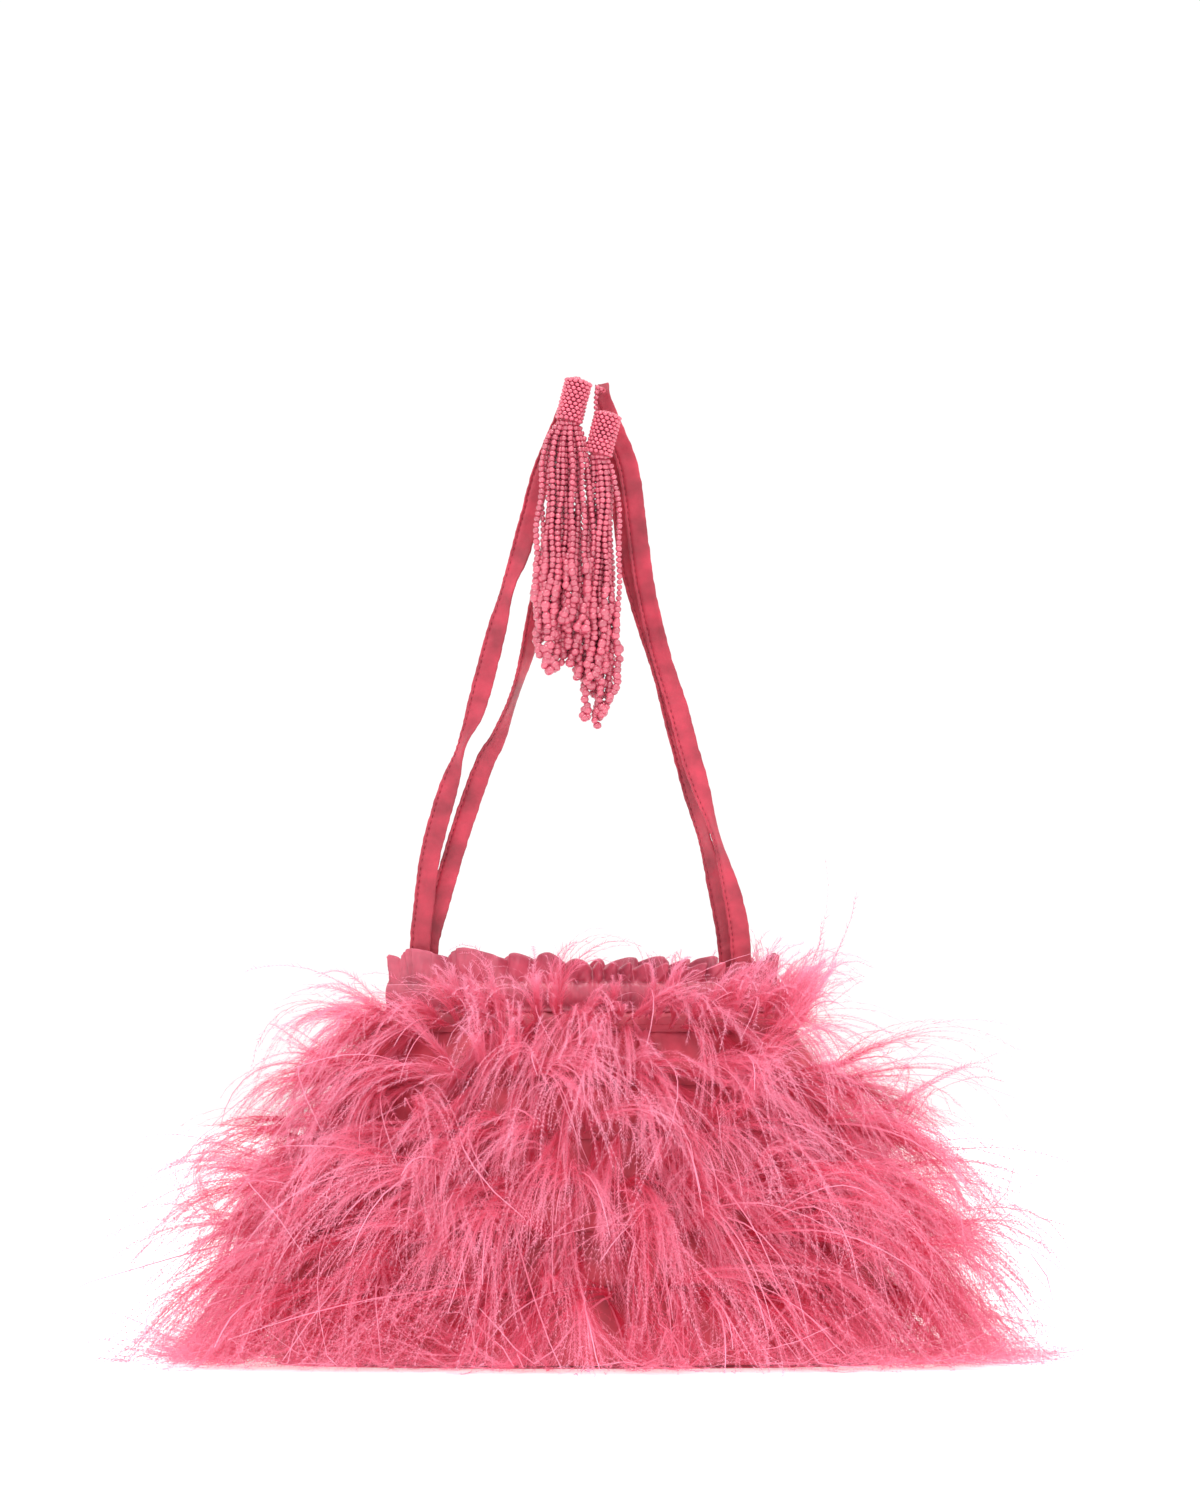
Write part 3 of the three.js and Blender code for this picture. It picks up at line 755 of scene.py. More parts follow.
# Across a ribbon: place from one edge to the other, and half the thickness there in mm
RIBBON_SECTION = (
    (-1.0, 0.0), (-0.985, 0.25), (-0.95, 0.45), (-0.87, 0.58), (-0.78, 0.3), (-0.72, 0.1),
    (-0.66, 0.1), (-0.6, 0.28), (-0.45, 0.46), (-0.2, 0.36), (0.2, 0.36), (0.55, 0.44),
    (0.85, 0.5), (0.95, 0.4), (0.985, 0.22), (1.0, 0.0),
)
STITCH_LINE = -0.69  # the sewn line's place across the ribbon, as in the section
STITCH_STEP = 2.6 * MM
STITCH_LONG = 1.7 * MM
STITCH_THICK = 0.26 * MM
PUCKER = 0.5  # how much a stitch swells and thins the cloth beside it
RIBBON_STEPS = 620
PINCH = 0.3  # how much narrower a ribbon gets where it turns over at the top


def ribbon_frame(side):
    """The ribbon's middle line, and the directions across it and out of its face."""
    points = np.array(LOOPS[side]) * MM
    path = smooth_path(points, RIBBON_STEPS)
    along = unit(np.gradient(path, axis=0))
    across = unit(np.array([1.0, 0, 0]) - along * along[:, :1])
    facing = np.cross(across, along)
    share = np.linspace(0, 1, len(path))
    turn = np.zeros(len(path))
    for middle, degrees, spread in TWISTS[side]:
        turn += math.radians(degrees) * np.exp(-(((share - middle) / spread) ** 2))
    turn = turn[:, None]
    turned = across * np.cos(turn) + facing * np.sin(turn)
    outward = facing * np.cos(turn) - across * np.sin(turn)
    return path, along, turned, outward


def drawcord(side):
    """A folded satin ribbon, stitched along one edge, that loops up out of the mouth."""
    rng = np.random.default_rng(31 + SIDES.index(side))
    path, along, across, outward = ribbon_frame(side)
    length = float(np.linalg.norm(np.diff(path, axis=0), axis=1).sum())
    place_along = np.linspace(0, length, len(path))
    turns = place_along / length * TURN
    half_wide = sizes().ribbon_width / 2 * (1 + 0.03 * waves(rng, turns, (17, 41, 73)))
    half_wide *= 1 - PINCH * np.exp(-(((turns / math.pi - 1) / 0.05) ** 2))
    edge_wave = 0.12 * MM * waves(rng, turns, (61, 97, 139))
    pucker = PUCKER * np.sin(place_along / STITCH_STEP * TURN)
    belly = 0.2 * MM * waves(rng, turns, (23, 59, 97))
    section = np.array(RIBBON_SECTION)
    loop = np.vstack([section, (section * [1, -1])[-2:0:-1]])
    rings = []
    for u, thick in loop:
        near_seam = math.exp(-(((u - STITCH_LINE) / 0.25) ** 2))
        high = thick * MM * (1 + pucker * near_seam) + belly * (1 - u * u)
        wide = u * half_wide + edge_wave * abs(u)
        rings.append(path + across * wide[:, None] + outward * high[:, None])
    rings = np.stack(rings, axis=1)
    ends = np.repeat(path[[0, -1]][:, None], len(loop), axis=1)
    mesh = swept_mesh(f"{side}_drawcord_ribbon", np.concatenate([ends[:1], rings, ends[1:]]))
    nodes = [f"{side}_cord_tail", f"{side}_cord_loop"]
    piece = place(mesh, None, named_cloth("ribbon"), nodes)

    spots = np.arange(0.03, 0.97, STITCH_STEP / length)
    at = np.interp(spots, np.linspace(0, 1, len(path)), np.arange(len(path))).astype(int)
    seam_points = path[at] + across[at] * STITCH_LINE * half_wide[at][:, None]
    rows = [
        (seam_points + outward[at] * face * STITCH_THICK, along[at], outward[at])
        for face in (1, -1)
    ]
    seam = sew(f"{side}_drawcord_stitches", None, rows, STITCH_LONG, STITCH_THICK, "seam")
    for part in (piece, seam):
        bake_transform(part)


class POUCH_OT_drawcords(Operator):
    """Make the two satin ribbons that loop up out of the mouth"""

    bl_idname = "pouch.drawcords"
    bl_label = "Drawcords"

    def execute(self, context):
        for side in SIDES:
            drawcord(side)
        return {"FINISHED"}


# ---- bead tassels -------------------------------------------------------------------------------

TASSEL_Y = -15
CAP_TOPS = {"left": (-1.2, TASSEL_Y, 391), "right": (10.6, TASSEL_Y, 377.6)}
CAP_LEAN = math.radians(14)
CAP_RINGS = 11
CAP_RING_BEADS = 14
STRANDS = {"left": 26, "right": 18}
# How far behind its cap's middle a bundle hangs, in mm; minus is in front
STRANDS_LEAN = {"left": -1.8, "right": 1.2}
GOLDEN_ANGLE = 2.39996  # spreads the strands evenly over the bundle
BEAD_PITCH = 0.85  # from bead to bead on a string, as a share of a bead's size
CAP_BEAD = 0.81  # size of the beads on the caps, against the strings'
HANGER_BEAD = 0.8
BEAD_FLATNESS = 0.8
LOOPED_CHANCE = 0.6  # share of the strings that end in a small loop
LOOP_RADII = (1.5, 2.2)
STRAY_BY = 2.6  # how far to the right a stray string bows out, in mm
STRAY_EVERY = 9
# Middle, height, half width and half depth of each bundle of strands, from the top down, in mm
BUNDLES = {
    "left": (
        (-5.4, 373.4, 5, 3.8), (-6.4, 368, 8.8, 4.8), (-6.6, 358, 10.6, 5.4),
        (-6.4, 340, 11.6, 5.6), (-6.8, 320, 12, 5.6), (-7.8, 298, 12.2, 5.6),
        (-9.4, 284, 11, 5.4), (-11, 274, 9, 4.4),
    ),
    "right": (
        (6.6, 360, 4, 3.6), (8, 355, 5.6, 4.8), (8, 344, 6.4, 5.2), (7.4, 320, 7.2, 5.4),
        (7, 298, 8.2, 5.4), (6.2, 281, 9.4, 5.4), (5.6, 266, 9, 5), (4, 251, 4.6, 3),
    ),
}
HANGERS = {
    "left": ((-4.1, -8.2, 388.6), (-3.4, -10.5, 390.6), (-2.4, -13, 391.8), (-1.4, -15, 391.4)),
    "right": (
        (7.4, -7.6, 388.4), (6.2, -8.8, 389), (5.6, -9.6, 385), (5.5, -10, 380),
        (6, -9.8, 376.4), (7.6, -9, 375.6), (9.6, -8.6, 376.4),
    ),
}
KNOTS = {"left": (-4.3, -6.6, 388), "right": (8, -6.6, 388)}
THREAD_RADIUS = 0.42 * MM


def bead_shape():
    """Points and triangles of one round bead, a little squashed along its hole."""
    shape = bmesh.new()
    bmesh.ops.create_uvsphere(shape, u_segments=8, v_segments=6, radius=0.5)
    bmesh.ops.scale(shape, vec=(1, 1, BEAD_FLATNESS), verts=shape.verts)
    bmesh.ops.triangulate(shape, faces=shape.faces)
    points = np.array([vertex.co for vertex in shape.verts])
    faces = np.array([[vertex.index for vertex in face.verts] for face in shape.faces])
    shape.free()
    return points, faces


def bead_mesh(name, rng, centres, axes, scale, tones):
    """Beads at the given places, each with its own shade of the glass."""
    template, triangles = bead_shape()
    axes = unit(axes + rng.normal(0, 0.12, axes.shape))
    across = unit(np.cross(axes, [0.3, 0.9, 0.1]))
    third = np.cross(axes, across)
    size = (sizes().bead_size * scale)[:, None, None]
    local = template[None] * size
    points = centres[:, None] + (
        local[..., :1] * across[:, None] + local[..., 1:2] * third[:, None]
        + local[..., 2:] * axes[:, None]
    )
    faces = (np.arange(len(centres)) * len(template))[:, None, None] + triangles[None]
    tone = np.repeat(tones, len(template))
    height = np.tile(template[:, 2] / BEAD_FLATNESS + 0.5, len(centres)).clip(0.02, 0.98)
    uv = np.stack([tone, height], axis=1)
    return mesh_from_arrays(name, points.reshape(-1, 3), [faces.reshape(-1, 3)], uv)


def beads_on(path, pitch):
    """Bead centres and hole directions along a path."""
    length = np.linalg.norm(np.diff(path, axis=0), axis=1).sum()
    line = smooth_path(path, max(2, int(length / pitch)))
    return line, np.gradient(line, axis=0)


def cap_beads(side):
    """Rings of beads stitched over the tassel's head, each ring half a bead round from the last."""
    top = np.array(CAP_TOPS[side]) * MM
    down = np.array([-math.sin(CAP_LEAN), 0, -math.cos(CAP_LEAN)])
    aside = np.array([math.cos(CAP_LEAN), 0, -math.sin(CAP_LEAN)])
    depth = np.array([0, 1, 0])
    rings = [(0.2, 1.5, 5), (0.5, 3.2, 10)]
    rings += [(1.1 + 1.52 * k, 4.75, CAP_RING_BEADS) for k in range(CAP_RINGS)]
    centres = []
    for index, (below, radius, count) in enumerate(rings):
        turns = (np.arange(count) + 0.5 * (index % 2)) / count * TURN
        ring = np.cos(turns)[:, None] * aside + np.sin(turns)[:, None] * depth
        centres.append(top + down * below * MM + ring * radius * MM)
    centres = np.vstack(centres)
    return centres, np.repeat(down[None], len(centres), axis=0)


def strand_path(rng, side, index):
    """One bead string: it fans out from the cap, hangs with small bends and may end in a loop."""
    bundle = np.array(BUNDLES[side], float)[::-1]
    share = math.sqrt((index + 0.5) / STRANDS[side])
    low, high = bundle[0, 1], bundle[-1, 1]
    end = low + (high - low) * 0.24 * rng.uniform(0, 1) ** 0.8
    heights = np.linspace(high, end, 26)
    middle, wide, deep = (np.interp(heights, bundle[:, 1], bundle[:, k]) for k in (0, 2, 3))
    fallen = np.linspace(0, 1, len(heights))
    turn = index * GOLDEN_ANGLE + 0.35 * fallen * rng.uniform(-1, 1)
    loose = (0.9 + 0.9 * fallen**2) * np.minimum(1, 5 * fallen)
    sway = waves(rng, fallen * TURN, (0.7, 1.6, 3.1)) * loose
    sway_deep = waves(rng, fallen * TURN, (0.9, 1.9, 3.3)) * loose
    stray = STRAY_BY * np.sin(math.pi * fallen) * (index % STRAY_EVERY == 4)
    x = middle + (wide - 1) * share * np.cos(turn) + sway + stray
    y = TASSEL_Y + STRANDS_LEAN[side] * np.minimum(1, 6 * fallen)
    y = y + (deep - 1) * share * np.sin(turn) + 0.5 * sway_deep
    path = np.stack([x, y, heights], axis=1)
    if rng.random() < LOOPED_CHANCE:
        swing = rng.uniform(0, TURN)
        aside = np.array([math.cos(swing), 0.6 * math.sin(swing), 0])
        around = np.linspace(0.4, 1.5 * math.pi, 7)[:, None]
        radius = rng.uniform(*LOOP_RADII)
        loop = (1 - np.cos(around)) * aside - np.sin(around) * np.array([0, 0, 1])
        path = np.vstack([path, path[-1] + radius * loop])
    return path * MM


def tassel(side):
    """One tassel's beads: rings over the cap, the strings below it and the hanger above."""
    rng = np.random.default_rng(41 + SIDES.index(side))
    pitch = sizes().bead_size * BEAD_PITCH
    centres, axes = cap_beads(side)
    scale = rng.normal(CAP_BEAD, 0.04, len(centres)).clip(0.7, 0.9)
    groups = [(centres, axes, scale, rng.uniform(0.5, 0.97, len(centres)))]
    for index in range(STRANDS[side]):
        line, along = beads_on(strand_path(rng, side, index), pitch)
        fallen = np.linspace(0, 1, len(line))
        lower = np.clip((fallen - 0.5) / 0.2, 0, 1)
        scale = rng.normal(1, 0.05, len(line)).clip(0.85, 1.12)
        scale *= 1 + lower * rng.uniform(0.05, 0.65, len(line))
        line = line + rng.normal(0, 0.3, line.shape) * MM * lower[:, None]
        groups.append((line, along, scale, rng.uniform(0.03, 0.6, len(line))))
    stacked = [np.concatenate(parts) for parts in zip(*groups)]
    mesh = bead_mesh(f"{side}_tassel_beads", rng, *stacked)
    nodes = [f"{side}_tassel_{part}" for part in ("cap", "strands_front", "strands_back")]
    glass = made_once("glass bead", bead_material)
    place(mesh, f"{side}_tassel", glass, nodes)

    line, along = beads_on(np.array(HANGERS[side]) * MM, 0.85 * pitch)
    size = rng.normal(HANGER_BEAD, 0.04, len(line))
    tones = rng.uniform(0.3, 0.97, len(line))
    mesh = bead_mesh(f"{side}_hanger_beads", rng, line, along, size, tones)
    place(mesh, f"{side}_tassel", glass, [f"{side}_tassel_hanger"])


def knot(side):
    """A tight knot of doubled thread that holds the hanger to its ribbon."""
    turns = once_round(72)
    wide = 0.85 + 0.35 * np.cos(3 * turns)
    path = np.stack(
        [wide * np.cos(2 * turns), wide * np.sin(2 * turns), 0.75 * np.sin(3 * turns)], axis=1
    )
    path = (path + np.array(KNOTS[side])) * MM
    along = unit(np.roll(path, -1, axis=0) - np.roll(path, 1, axis=0))
    across = unit(np.cross(along, [0.2, 0.1, 1]))
    third = np.cross(along, across)
    rings = np.stack(
        [
            path + (across * math.cos(turn) + third * math.sin(turn)) * THREAD_RADIUS
            for turn in once_round(8)
        ],
        axis=1,
    )
    mesh = swept_mesh(f"{side}_knot_thread", np.concatenate([rings, rings[:1]]))
    place(mesh, f"{side}_knot", named_cloth("thread"), [f"{side}_tassel_knot"])


class POUCH_OT_tassels(Operator):
    """Make the two bead tassels, their hangers and knots"""

    bl_idname = "pouch.tassels"
    bl_label = "Bead tassels"

    def execute(self, context):
        for side in SIDES:
            tassel(side)
            knot(side)
        return {"FINISHED"}


# ---- pieces kept from the frame -----------------------------------------------------------------


class POUCH_OT_finishes(Operator):
    """Give the pieces that keep their CAD shape their cloth and board finishes"""

    bl_idname = "pouch.finishes"
    bl_label = "Finishes"

    def execute(self, context):
        kept = {"base_board": "board", "left_tassel_core": "core", "right_tassel_core": "core"}
        for node, finish in kept.items():
            for slot in bpy.data.objects[node].material_slots:
                slot.material = named_cloth(finish)
        return {"FINISHED"}


# ---- feathers -----------------------------------------------------------------------------------

GUIDE_STEPS = 16
BARB_STEPS = 9
BARBULE_PAIRS = 46
BARBULE_LENGTH = 6 * MM
FLOOR_CLEARANCE = 0.8 * MM
TURN_UP_BELOW = 14 * MM  # locks that come lower than this start to turn up off the floor
GUIDE_CLEARANCE = 3 * MM  # no lock's middle line comes lower
SIDE_LIMIT = 0.214
FRONT_LIMIT = 0.131
SOFT_EDGE = 0.030
FULLER_ON_THE_RIGHT = 1.1
RIGHT_END_LENGTHS = (1, 1, 1, 1.1, 1.06, 0.8)  # how each row's length changes at the right end
TOP_LENGTH = 0.6  # length of the top row's barbs as a share of the lowest row's
TOP_ROW_LOCKS = 7 / 5  # the top row has more locks of fewer barbs, to cover its tape
RAISED_CHANCE = 0.44  # share of the top row's locks that stand up in front of the frill
RAISED_MORE_ON_THE_RIGHT = 0.12
RAISED_LESS_AT_THE_LEFT_END = 0.42
RAISED_LENGTH = 0.68
RAISED_DROOP = 1.3
LYING_CHANCE = 0.3  # share of the locks that lie down over the tape below
LYING_MORE_BELOW = 0.2
LYING_CHANCE_IN_TOP_ROW = 0.6
LYING_CHANCE_AT_THE_ENDS = 0.65
ROOT_DEPTHS = (0.5, 5.5)  # how far below its tape's top edge a lock is sewn, in mm
ROOT_LIFT = 1.8 * MM  # off the wall
SPLAY = 0.85  # how much the locks of the front and back lean out to their own side
DROOPS = (14, 34)  # how fast the locks bend down, per metre
CURL = 15  # and any other way
BARB_REACHES = (0.5, 1.0)  # share of its lock's middle line that a barb follows
BARB_SAG = 0.8  # how much a barb bends down, against any other way
BARB_SWAY = 1.2 * MM
BARB_TAPER = 0.75  # how much narrower a barb is at its tip
BARB_WIDTHS = (0.5, 1.1)  # against the usual barb's
QUILL_CHANCE = 0.07  # share of barbs that stand out thick, pale and strongly bent; their pale tone is partly their own colour and partly painted highlight
QUILL_WIDTHS = (1.6, 2.8)
BARBULE_LEANS = (1.4, 3.2)  # how far forward a barbule points, against sideways
BARBULE_STRAY = 0.25
MASS_HALF_SIZE = np.array([0.19, 0.11, 0.10])
BARBULE_FOOT = 0.24 * MM  # half the width of a barbule where it leaves its barb


def soft_limit(values, limit):
    """Bends values that come near a limit back inside it."""
    start = limit - SOFT_EDGE
    over = np.maximum(np.abs(values) - start, 0)
    kept = start + SOFT_EDGE * np.tanh(over / SOFT_EDGE)
    return np.where(over > 0, np.sign(values) * kept, values)


def grow_guides(roots, headings, lengths, droop, curl_axis, curl):
    """The middle line of each lock: it leaves along its heading, curls and droops by its weight."""
    here = roots.copy()
    heading = unit(headings)
    step = (lengths / GUIDE_STEPS)[:, None]
    paths = [here.copy()]
    for index in range(GUIDE_STEPS):
        flat = np.hypot(heading[:, 0], heading[:, 1])
        weight = 0.35 + 1.5 * (index / GUIDE_STEPS) ** 1.5
        heading = heading + np.cross(curl_axis, heading) * curl[:, None] * step
        heading[:, 2] -= droop * step[:, 0] * (0.3 + 0.7 * flat) * weight
        heading[:, 2] += 0.35 * np.clip(1 - here[:, 2] / TURN_UP_BELOW, 0, 1)
        heading = unit(heading)
        here = here + heading * step
        low = here[:, 2] < GUIDE_CLEARANCE
        here[low, 2] = GUIDE_CLEARANCE
        heading[low, 2] = np.abs(heading[low, 2]) * 0.2
        paths.append(here.copy())
    return np.stack(paths, axis=1)


def any_way(rng, count, most=np.inf):
    """A random offset for each barb, with no part of it past the given size."""
    return rng.normal(0, 1, (count, 1, 3)).clip(-most, most)


def barbs_along(rng, guides, owner, reach, spread, curl):
    """Barbs that leave with their lock's middle line, part from it and curl towards their tips."""
    count = len(owner)
    share = np.linspace(0, 1, BARB_STEPS + 1)[None, :] * reach[:, None] * GUIDE_STEPS
    low = np.minimum(share.astype(int), GUIDE_STEPS - 1)
    part = (share - low)[..., None]
    guide = guides[owner]
    rows = np.arange(count)[:, None]
    line = guide[rows, low] * (1 - part) + guide[rows, low + 1] * part
    along = np.linspace(0, 1, BARB_STEPS + 1)[None, :, None]
    aside = any_way(rng, count, 1.8) * spread[:, None, None]
    bend = any_way(rng, count, 1.8) * curl[:, None, None]
    bend[..., 2] -= BARB_SAG * curl[:, None]
    turn = along * rng.uniform(1.5, 3.5, (count, 1, 1)) + rng.uniform(0, 6.3, (count, 1, 1))
    sway = any_way(rng, count) * (np.sin(turn) - np.sin(turn[:, :1])) * BARB_SWAY
    hook = any_way(rng, count, 1.5) - [0, 0, BARB_SAG]
    hook = hook * np.abs(rng.normal(0, 0.6, (count, 1, 1))).clip(0, 1.2) * curl[:, None, None]
    line = line + aside * along + bend * along**2 + hook * along**5 + sway
    line[..., 0] = soft_limit(line[..., 0], SIDE_LIMIT)
    line[..., 1] = soft_limit(line[..., 1], FRONT_LIMIT)
    height = line[..., 2] * np.where(line[..., 2] < 0, 0.5, 1)
    lowest = FLOOR_CLEARANCE + rng.uniform(0, 3 * MM, (count, 1))
    line[..., 2] = np.sqrt(height**2 + lowest**2)
    return line


def mass_normals(points):
    """Directions out of the rounded mass that the feathers make together."""
    centre = np.array([0, 0, 0.5 * NECK_HEIGHT])
    return unit((points - centre) / MASS_HALF_SIZE**2)


def barb_strips(rng, paths, width, quill, tone):
    """Flat tapered shafts with fine barbules down both edges, faces out, and palette places."""
    count, stations = paths.shape[:2]
    along = unit(np.gradient(paths, axis=1))
    out_of_mass = mass_normals(paths)
    facing = unit(out_of_mass.mean(axis=1, keepdims=True) + rng.normal(0, 0.35, (count, 1, 3)))
    side = unit(np.cross(along, facing))
    share = np.linspace(0, 1, stations)
    taper = width * (1 - BARB_TAPER * share**1.5)
    bold = np.where(quill, rng.uniform(*QUILL_WIDTHS, count), rng.uniform(*BARB_WIDTHS, count))
    half = side * (taper[None, :, None] / 2) * bold[:, None, None]
    shaft = np.stack([paths - half, paths + half], axis=2).reshape(-1, 3)
    base = (np.arange(count) * stations * 2)[:, None] + np.arange(stations - 1)[None, :] * 2
    quads = np.stack([base, base + 1, base + 3, base + 2], axis=-1).reshape(-1, 4)
    shaft_uv = np.stack(
        [np.repeat(tone, stations * 2), np.tile(np.repeat(share, 2), count)], axis=1
    )

    places = np.linspace(0.04, 0.97, BARBULE_PAIRS)
    slot_at = places * (stations - 1)
    low = np.minimum(slot_at.astype(int), stations - 2)
    part = (slot_at - low)[None, :, None]
    point = paths[:, low] * (1 - part) + paths[:, low + 1] * part
    forward = along[:, low]
    out = side[:, low]
    reach = BARBULE_LENGTH * (1 - 0.7 * places) * np.minimum(1, 0.35 + 4 * places)
    reach = reach[None, :, None] * np.where(quill, 0.3, 1)[:, None, None]
    foot = forward * BARBULE_FOOT
    fuzz = []
    fuzz_uv = []
    for sign in (-1, 1):
        lean = rng.uniform(*BARBULE_LEANS, (count, BARBULE_PAIRS, 1))
        stray = rng.normal(0, BARBULE_STRAY, (count, BARBULE_PAIRS, 3))
        direction = unit(forward * lean + out * sign + stray)
        long = reach * rng.uniform(0.5, 1.3, (count, BARBULE_PAIRS, 1))
        end = point + direction * long
        end[..., 2] = np.maximum(end[..., 2], 0.3 * MM)
        feet = [point - foot, point + foot] if sign > 0 else [point + foot, point - foot]
        fuzz.append(np.stack(feet + [end], axis=2).reshape(-1, 3))
        shade = np.repeat(np.repeat(tone, BARBULE_PAIRS), 3)
        where = np.repeat(np.clip(np.tile(places, count) + 0.12, 0, 1), 3)
        fuzz_uv.append(np.stack([shade, where], axis=1))
    fuzz = np.vstack(fuzz)
    faces = np.arange(len(fuzz)).reshape(-1, 3) + len(shaft)
    return np.vstack([shaft, fuzz]), [quads, faces], np.vstack([shaft_uv] + fuzz_uv)


def rise(values, start, over):
    """0 up to the start, then up to 1 over the given distance; both are in mm."""
    return np.clip((values - start * MM) / (over * MM), 0, 1)


def lock_headings(rng, row, share, angle, roots, outward):
    """The way each lock leaves its tape, and whether it is raised."""
    locks, x = len(angle), roots[:, 0]
    sideways = np.stack([-outward[:, 1], outward[:, 0], 0 * angle], 1)
    heading = outward * np.array([1, 0.8, 1])
    heading[:, 0] += SPLAY * np.clip(x / 0.075, -1, 1) * np.abs(outward[:, 1])
    heading += sideways * rng.normal(0, 0.26, locks)[:, None]
    heading[:, 2] += 0.5 - 0.35 * share + rng.normal(0, 0.34 - 0.1 * share, locks)
    at_right_end, at_left_end = rise(x, 35, 20), rise(-x, 45, 20)
    chance = RAISED_CHANCE + RAISED_MORE_ON_THE_RIGHT * rise(x, 5, 30)
    chance -= RAISED_LESS_AT_THE_LEFT_END * at_left_end
    raised = (rng.random(locks) < chance) & (row == 1)
    heading[:, 2] += raised * rng.uniform(0.25, 1.4, locks)
    heading[:, 0] *= 1 - raised * (0.55 * at_right_end + 0.8 * at_left_end)
    heading[:, 2] += 0.35 * rise(x, 0, 80) * share
    usual = LYING_CHANCE_IN_TOP_ROW if row == 1 else LYING_CHANCE + LYING_MORE_BELOW * share
    chance = np.where(np.abs(x) > 66 * MM, LYING_CHANCE_AT_THE_ENDS, usual)
    lying = ~raised & (rng.random(locks) < chance)
    heading[lying] *= [0.75, 0.55, 1]
    heading[:, 2] -= lying * rng.uniform(0.6, 1.1, locks)
    return heading, raised


def feather_row(row):
    """The feathers sewn to one tape: locks of barbs that share a direction and a curl."""
    rng = np.random.default_rng(700 + row)
    locks, barbs = sizes().locks_per_row, sizes().barbs_per_lock
    if row == 1:
        locks, barbs = int(locks * TOP_ROW_LOCKS), int(barbs / TOP_ROW_LOCKS)
    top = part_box(f"feather_tape_{row}")[1][2]
    share = (row - 1) / (len(ROWS) - 1)
    angle = even_angles(locks, top, start=0.37 * row) + rng.normal(0, 0.03, locks)
    root_height = top - rng.uniform(*ROOT_DEPTHS, locks) * MM
    roots = wall_point(angle, root_height, ROOT_LIFT)
    wide, deep = wall_half_sizes(root_height)
    outward = unit(np.stack([np.cos(angle) / wide, np.sin(angle) / deep, 0 * angle], 1))
    heading, raised = lock_headings(rng, row, share, angle, roots, outward)
    usual = sizes().barb_length * (TOP_LENGTH + (1 - TOP_LENGTH) * share**0.8)
    lengths = usual * rng.normal(1, 0.14, locks).clip(0.6, 1.3)
    lengths *= 1 + (FULLER_ON_THE_RIGHT - 1) * rise(roots[:, 0], 0, 50)
    lengths *= 1 + (RIGHT_END_LENGTHS[row - 1] - 1) * rise(roots[:, 0], 0, 80)
    lengths[raised] *= RAISED_LENGTH
    droop = rng.uniform(*DROOPS, locks) / (0.6 + 0.4 * share)
    droop[raised] *= RAISED_DROOP
    curl_axis = unit(rng.normal(0, 1, (locks, 3)))
    curl = rng.normal(0, CURL, locks)
    guides = grow_guides(roots, heading, lengths, droop, curl_axis, curl)

    owner = np.repeat(np.arange(locks), barbs)
    count = len(owner)
    reach = rng.uniform(*BARB_REACHES, count) ** 0.8
    barb_length = lengths[owner] * reach
    spread = barb_length * np.abs(rng.normal(0.06, 0.06, count))
    bend = barb_length * np.abs(rng.normal(0.05, 0.08, count))
    quill = rng.random(count) < QUILL_CHANCE
    spread[quill] *= 1.5
    bend[quill] *= 2.4
    spread = np.minimum(spread, 0.2 * barb_length)
    bend = np.minimum(bend, 0.26 * barb_length)
    # Each lock's tone is random, and the lower rows are painted darker: painted shade towards the
    # bottom of the fringe.
    tone = rng.uniform(0.3, 1, locks) * (1 - 0.65 * share) + rng.uniform(0, 0.15, locks)
    tone = (tone[owner] + rng.normal(0, 0.12, count)).clip(0.02, 0.86)
    # Quills get a pale tone: partly the quills' own paler colour, partly a painted highlight of
    # shafts catching the light.
    tone = np.where(quill, rng.uniform(0.86, 0.98, count), tone)
    paths = barbs_along(rng, guides, owner, reach, spread, bend)
    points, blocks, uv = barb_strips(rng, paths, sizes().barb_width, quill, tone)
    mesh = mesh_from_arrays(f"feathers_{row}", points, blocks, uv)
    barbs_finish = made_once("feather barbs", feather_material)
    place(mesh, "bag", barbs_finish, [f"feather_row_{row}"])


class POUCH_OT_feathers(Operator):
    """Grow the feather fringe from its sewn tapes"""

    bl_idname = "pouch.feathers"
    bl_label = "Feather fringe"

    def execute(self, context):
        for row in ROWS:
            feather_row(row)
        return {"FINISHED"}


# ---- stage --------------------------------------------------------------------------------------

VIEW_CENTRE = Vector((7.2 * MM, 0, 244 * MM))
VIEW_HEIGHT = 600 * MM
CAMERA_DISTANCE = 2.0
CAMERA_HEIGHT = 100 * MM
SENSOR = 36
WHITE = (1, 1, 1, 1)


def aim(holder, target):
    """Turn a camera or a light to face a point."""
    holder.rotation_euler = (target - holder.location).to_track_quat("-Z", "Y").to_euler()


def add_camera():
    """The camera, low in front of the pouch and tilted up to the middle of the view."""
    data = bpy.data.cameras.new("camera")
    data.sensor_fit = "VERTICAL"
    camera = bpy.data.objects.new("camera", data)
    camera.location = (VIEW_CENTRE.x, -CAMERA_DISTANCE, CAMERA_HEIGHT)
    aim(camera, VIEW_CENTRE)
    reach = (VIEW_CENTRE - camera.location).length
    data.sensor_height = SENSOR
    data.lens = SENSOR / (VIEW_HEIGHT / reach)
    bpy.context.scene.collection.objects.link(camera)
    bpy.context.scene.camera = camera


def add_light(name, place_at, size, power):
    data = bpy.data.lights.new(name, "AREA")
    data.shape = "DISK"
    data.size = size
    data.energy = power
    light = bpy.data.objects.new(name, data)
    light.location = place_at
    aim(light, Vector((0, 0, 0.12)))
    bpy.context.scene.collection.objects.link(light)


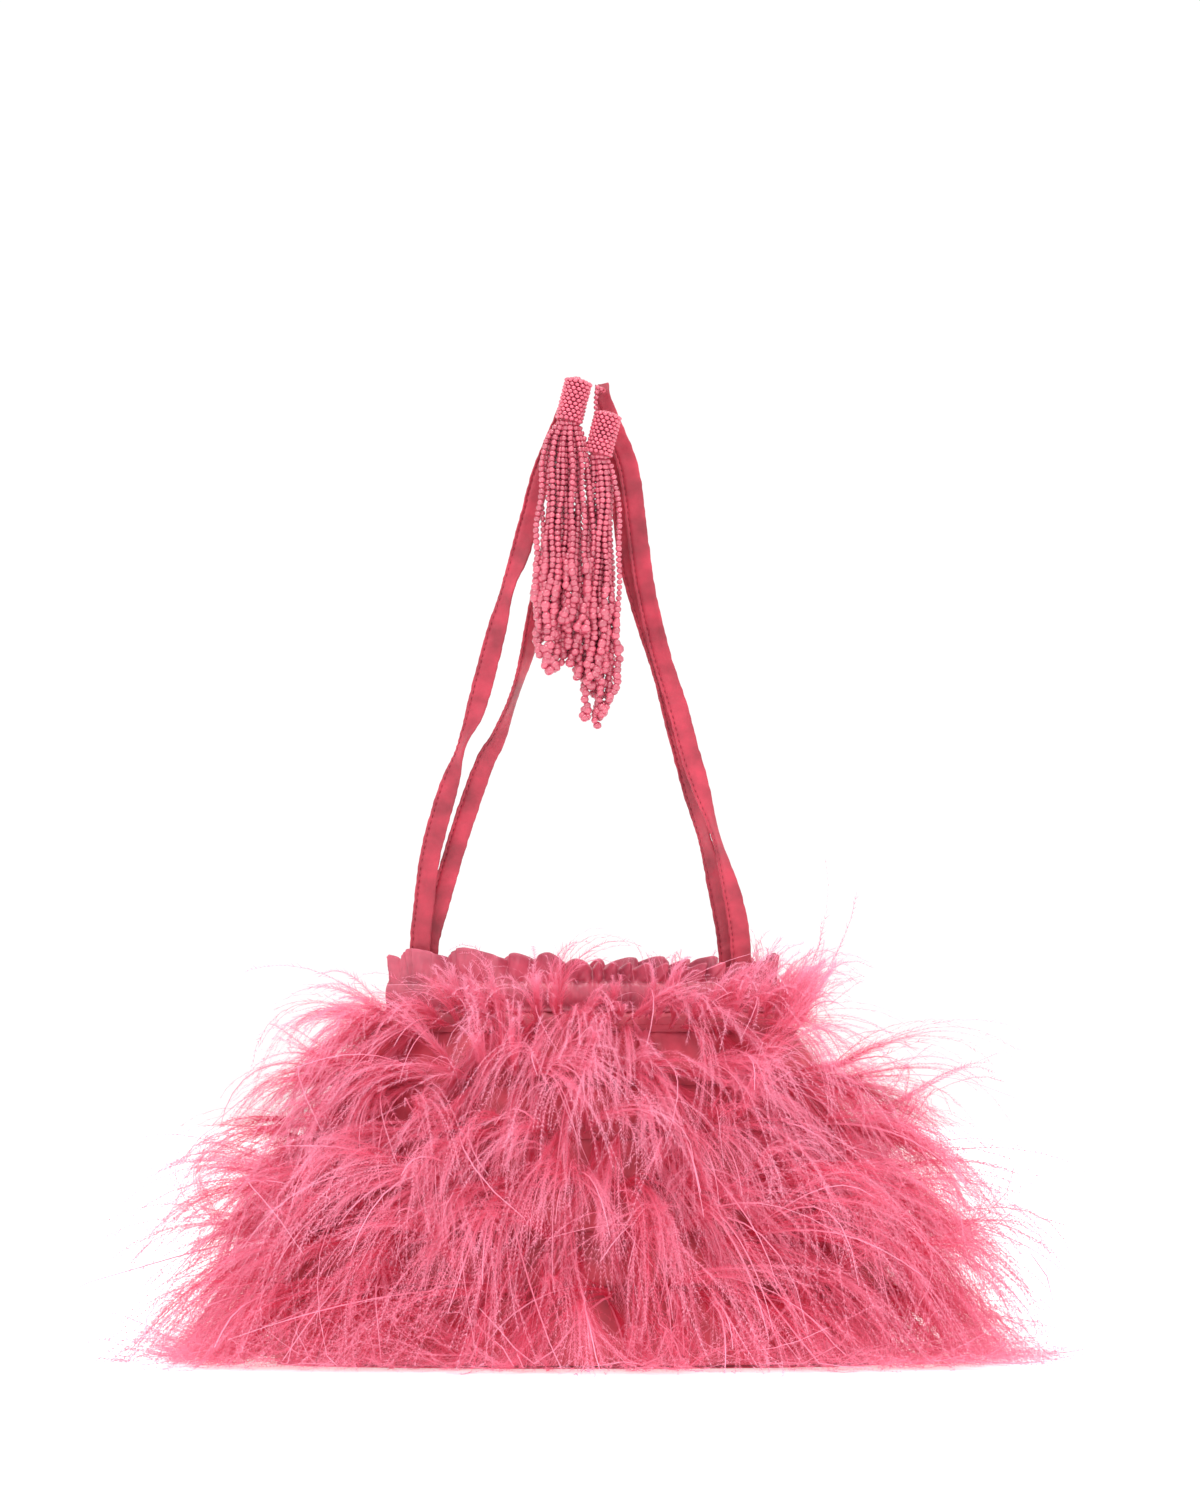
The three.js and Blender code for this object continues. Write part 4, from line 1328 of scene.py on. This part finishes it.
def add_floor():
    """A pale, plain floor that glows a little, so that shadows on it stay faint."""
    shape = bmesh.new()
    bmesh.ops.create_circle(shape, cap_ends=True, segments=64, radius=30)
    mesh = mesh_from_bmesh("floor", shape)
    material, tree, principled = new_material(
        "floor", roughness=0.7, emission_color=WHITE, emission_strength=0.5
    )
    noise = add_node(tree, "ShaderNodeTexNoise", scale=4.0)
    here = tree.nodes.new("ShaderNodeTexCoord").outputs["Object"]
    join(tree, here, noise.inputs["Vector"])
    shades = shade_colour(WHITE, 0.93), shade_colour(WHITE, 0.95)
    join(tree, ramp(tree, noise.outputs["Fac"], *shades), principled.inputs["Base Color"])
    mesh.materials.append(material)
    floor = bpy.data.objects.new("floor", mesh)
    bpy.context.scene.collection.objects.link(floor)


def studio_world():
    """White all round, to look at and as light."""
    world = bpy.data.worlds.new("studio")
    world.use_nodes = True
    set_inputs(world.node_tree.nodes["Background"], color=WHITE, strength=1.05)
    return world


class POUCH_OT_stage(Operator):
    """Set the floor, the soft studio light and the camera"""

    bl_idname = "pouch.stage"
    bl_label = "Stage"

    def execute(self, context):
        add_camera()
        add_floor()
        context.scene.world = studio_world()
        context.scene.view_settings.view_transform = "Standard"
        add_light("key", (-0.9, -1.3, 1.5), 0.4, 7)
        add_light("fill", (1.3, -1.0, 0.8), 0.6, 2)
        add_light("top", (0.1, -0.5, 1.7), 0.6, 10)
        return {"FINISHED"}


# ---- add-on -------------------------------------------------------------------------------------

OPERATORS = (
    POUCH_OT_stage,
    POUCH_OT_drawcords,
    POUCH_OT_bag,
    POUCH_OT_mouth,
    POUCH_OT_tassels,
    POUCH_OT_feathers,
    POUCH_OT_finishes,
)


class POUCH_PT_panel(Panel):
    """The pieces of the pouch, in the order they are made"""

    bl_label = "Pouch"
    bl_idname = "POUCH_PT_panel"
    bl_space_type = "VIEW_3D"
    bl_region_type = "UI"
    bl_category = "Pouch"

    def draw(self, context):
        layout = self.layout
        for group in (context.scene.pouch_sizes, context.scene.pouch_colours):
            for name in group.bl_rna.properties.keys():
                if name not in ("rna_type", "name"):
                    layout.prop(group, name)
        for operator in OPERATORS:
            layout.operator(operator.bl_idname)


CLASSES = (PouchColours, PouchSizes, POUCH_PT_panel) + OPERATORS


def register():
    for cls in CLASSES:
        bpy.utils.register_class(cls)
    bpy.types.Scene.pouch_colours = PointerProperty(type=PouchColours)
    bpy.types.Scene.pouch_sizes = PointerProperty(type=PouchSizes)


def unregister():
    del bpy.types.Scene.pouch_sizes
    del bpy.types.Scene.pouch_colours
    for cls in reversed(CLASSES):
        bpy.utils.unregister_class(cls)


def main():
    register()
    bpy.ops.pouch.stage()
    bpy.ops.pouch.drawcords()
    bpy.ops.pouch.bag()
    bpy.ops.pouch.mouth()
    bpy.ops.pouch.tassels()
    bpy.ops.pouch.feathers()
    bpy.ops.pouch.finishes()


if __name__ == "__main__":
    main()
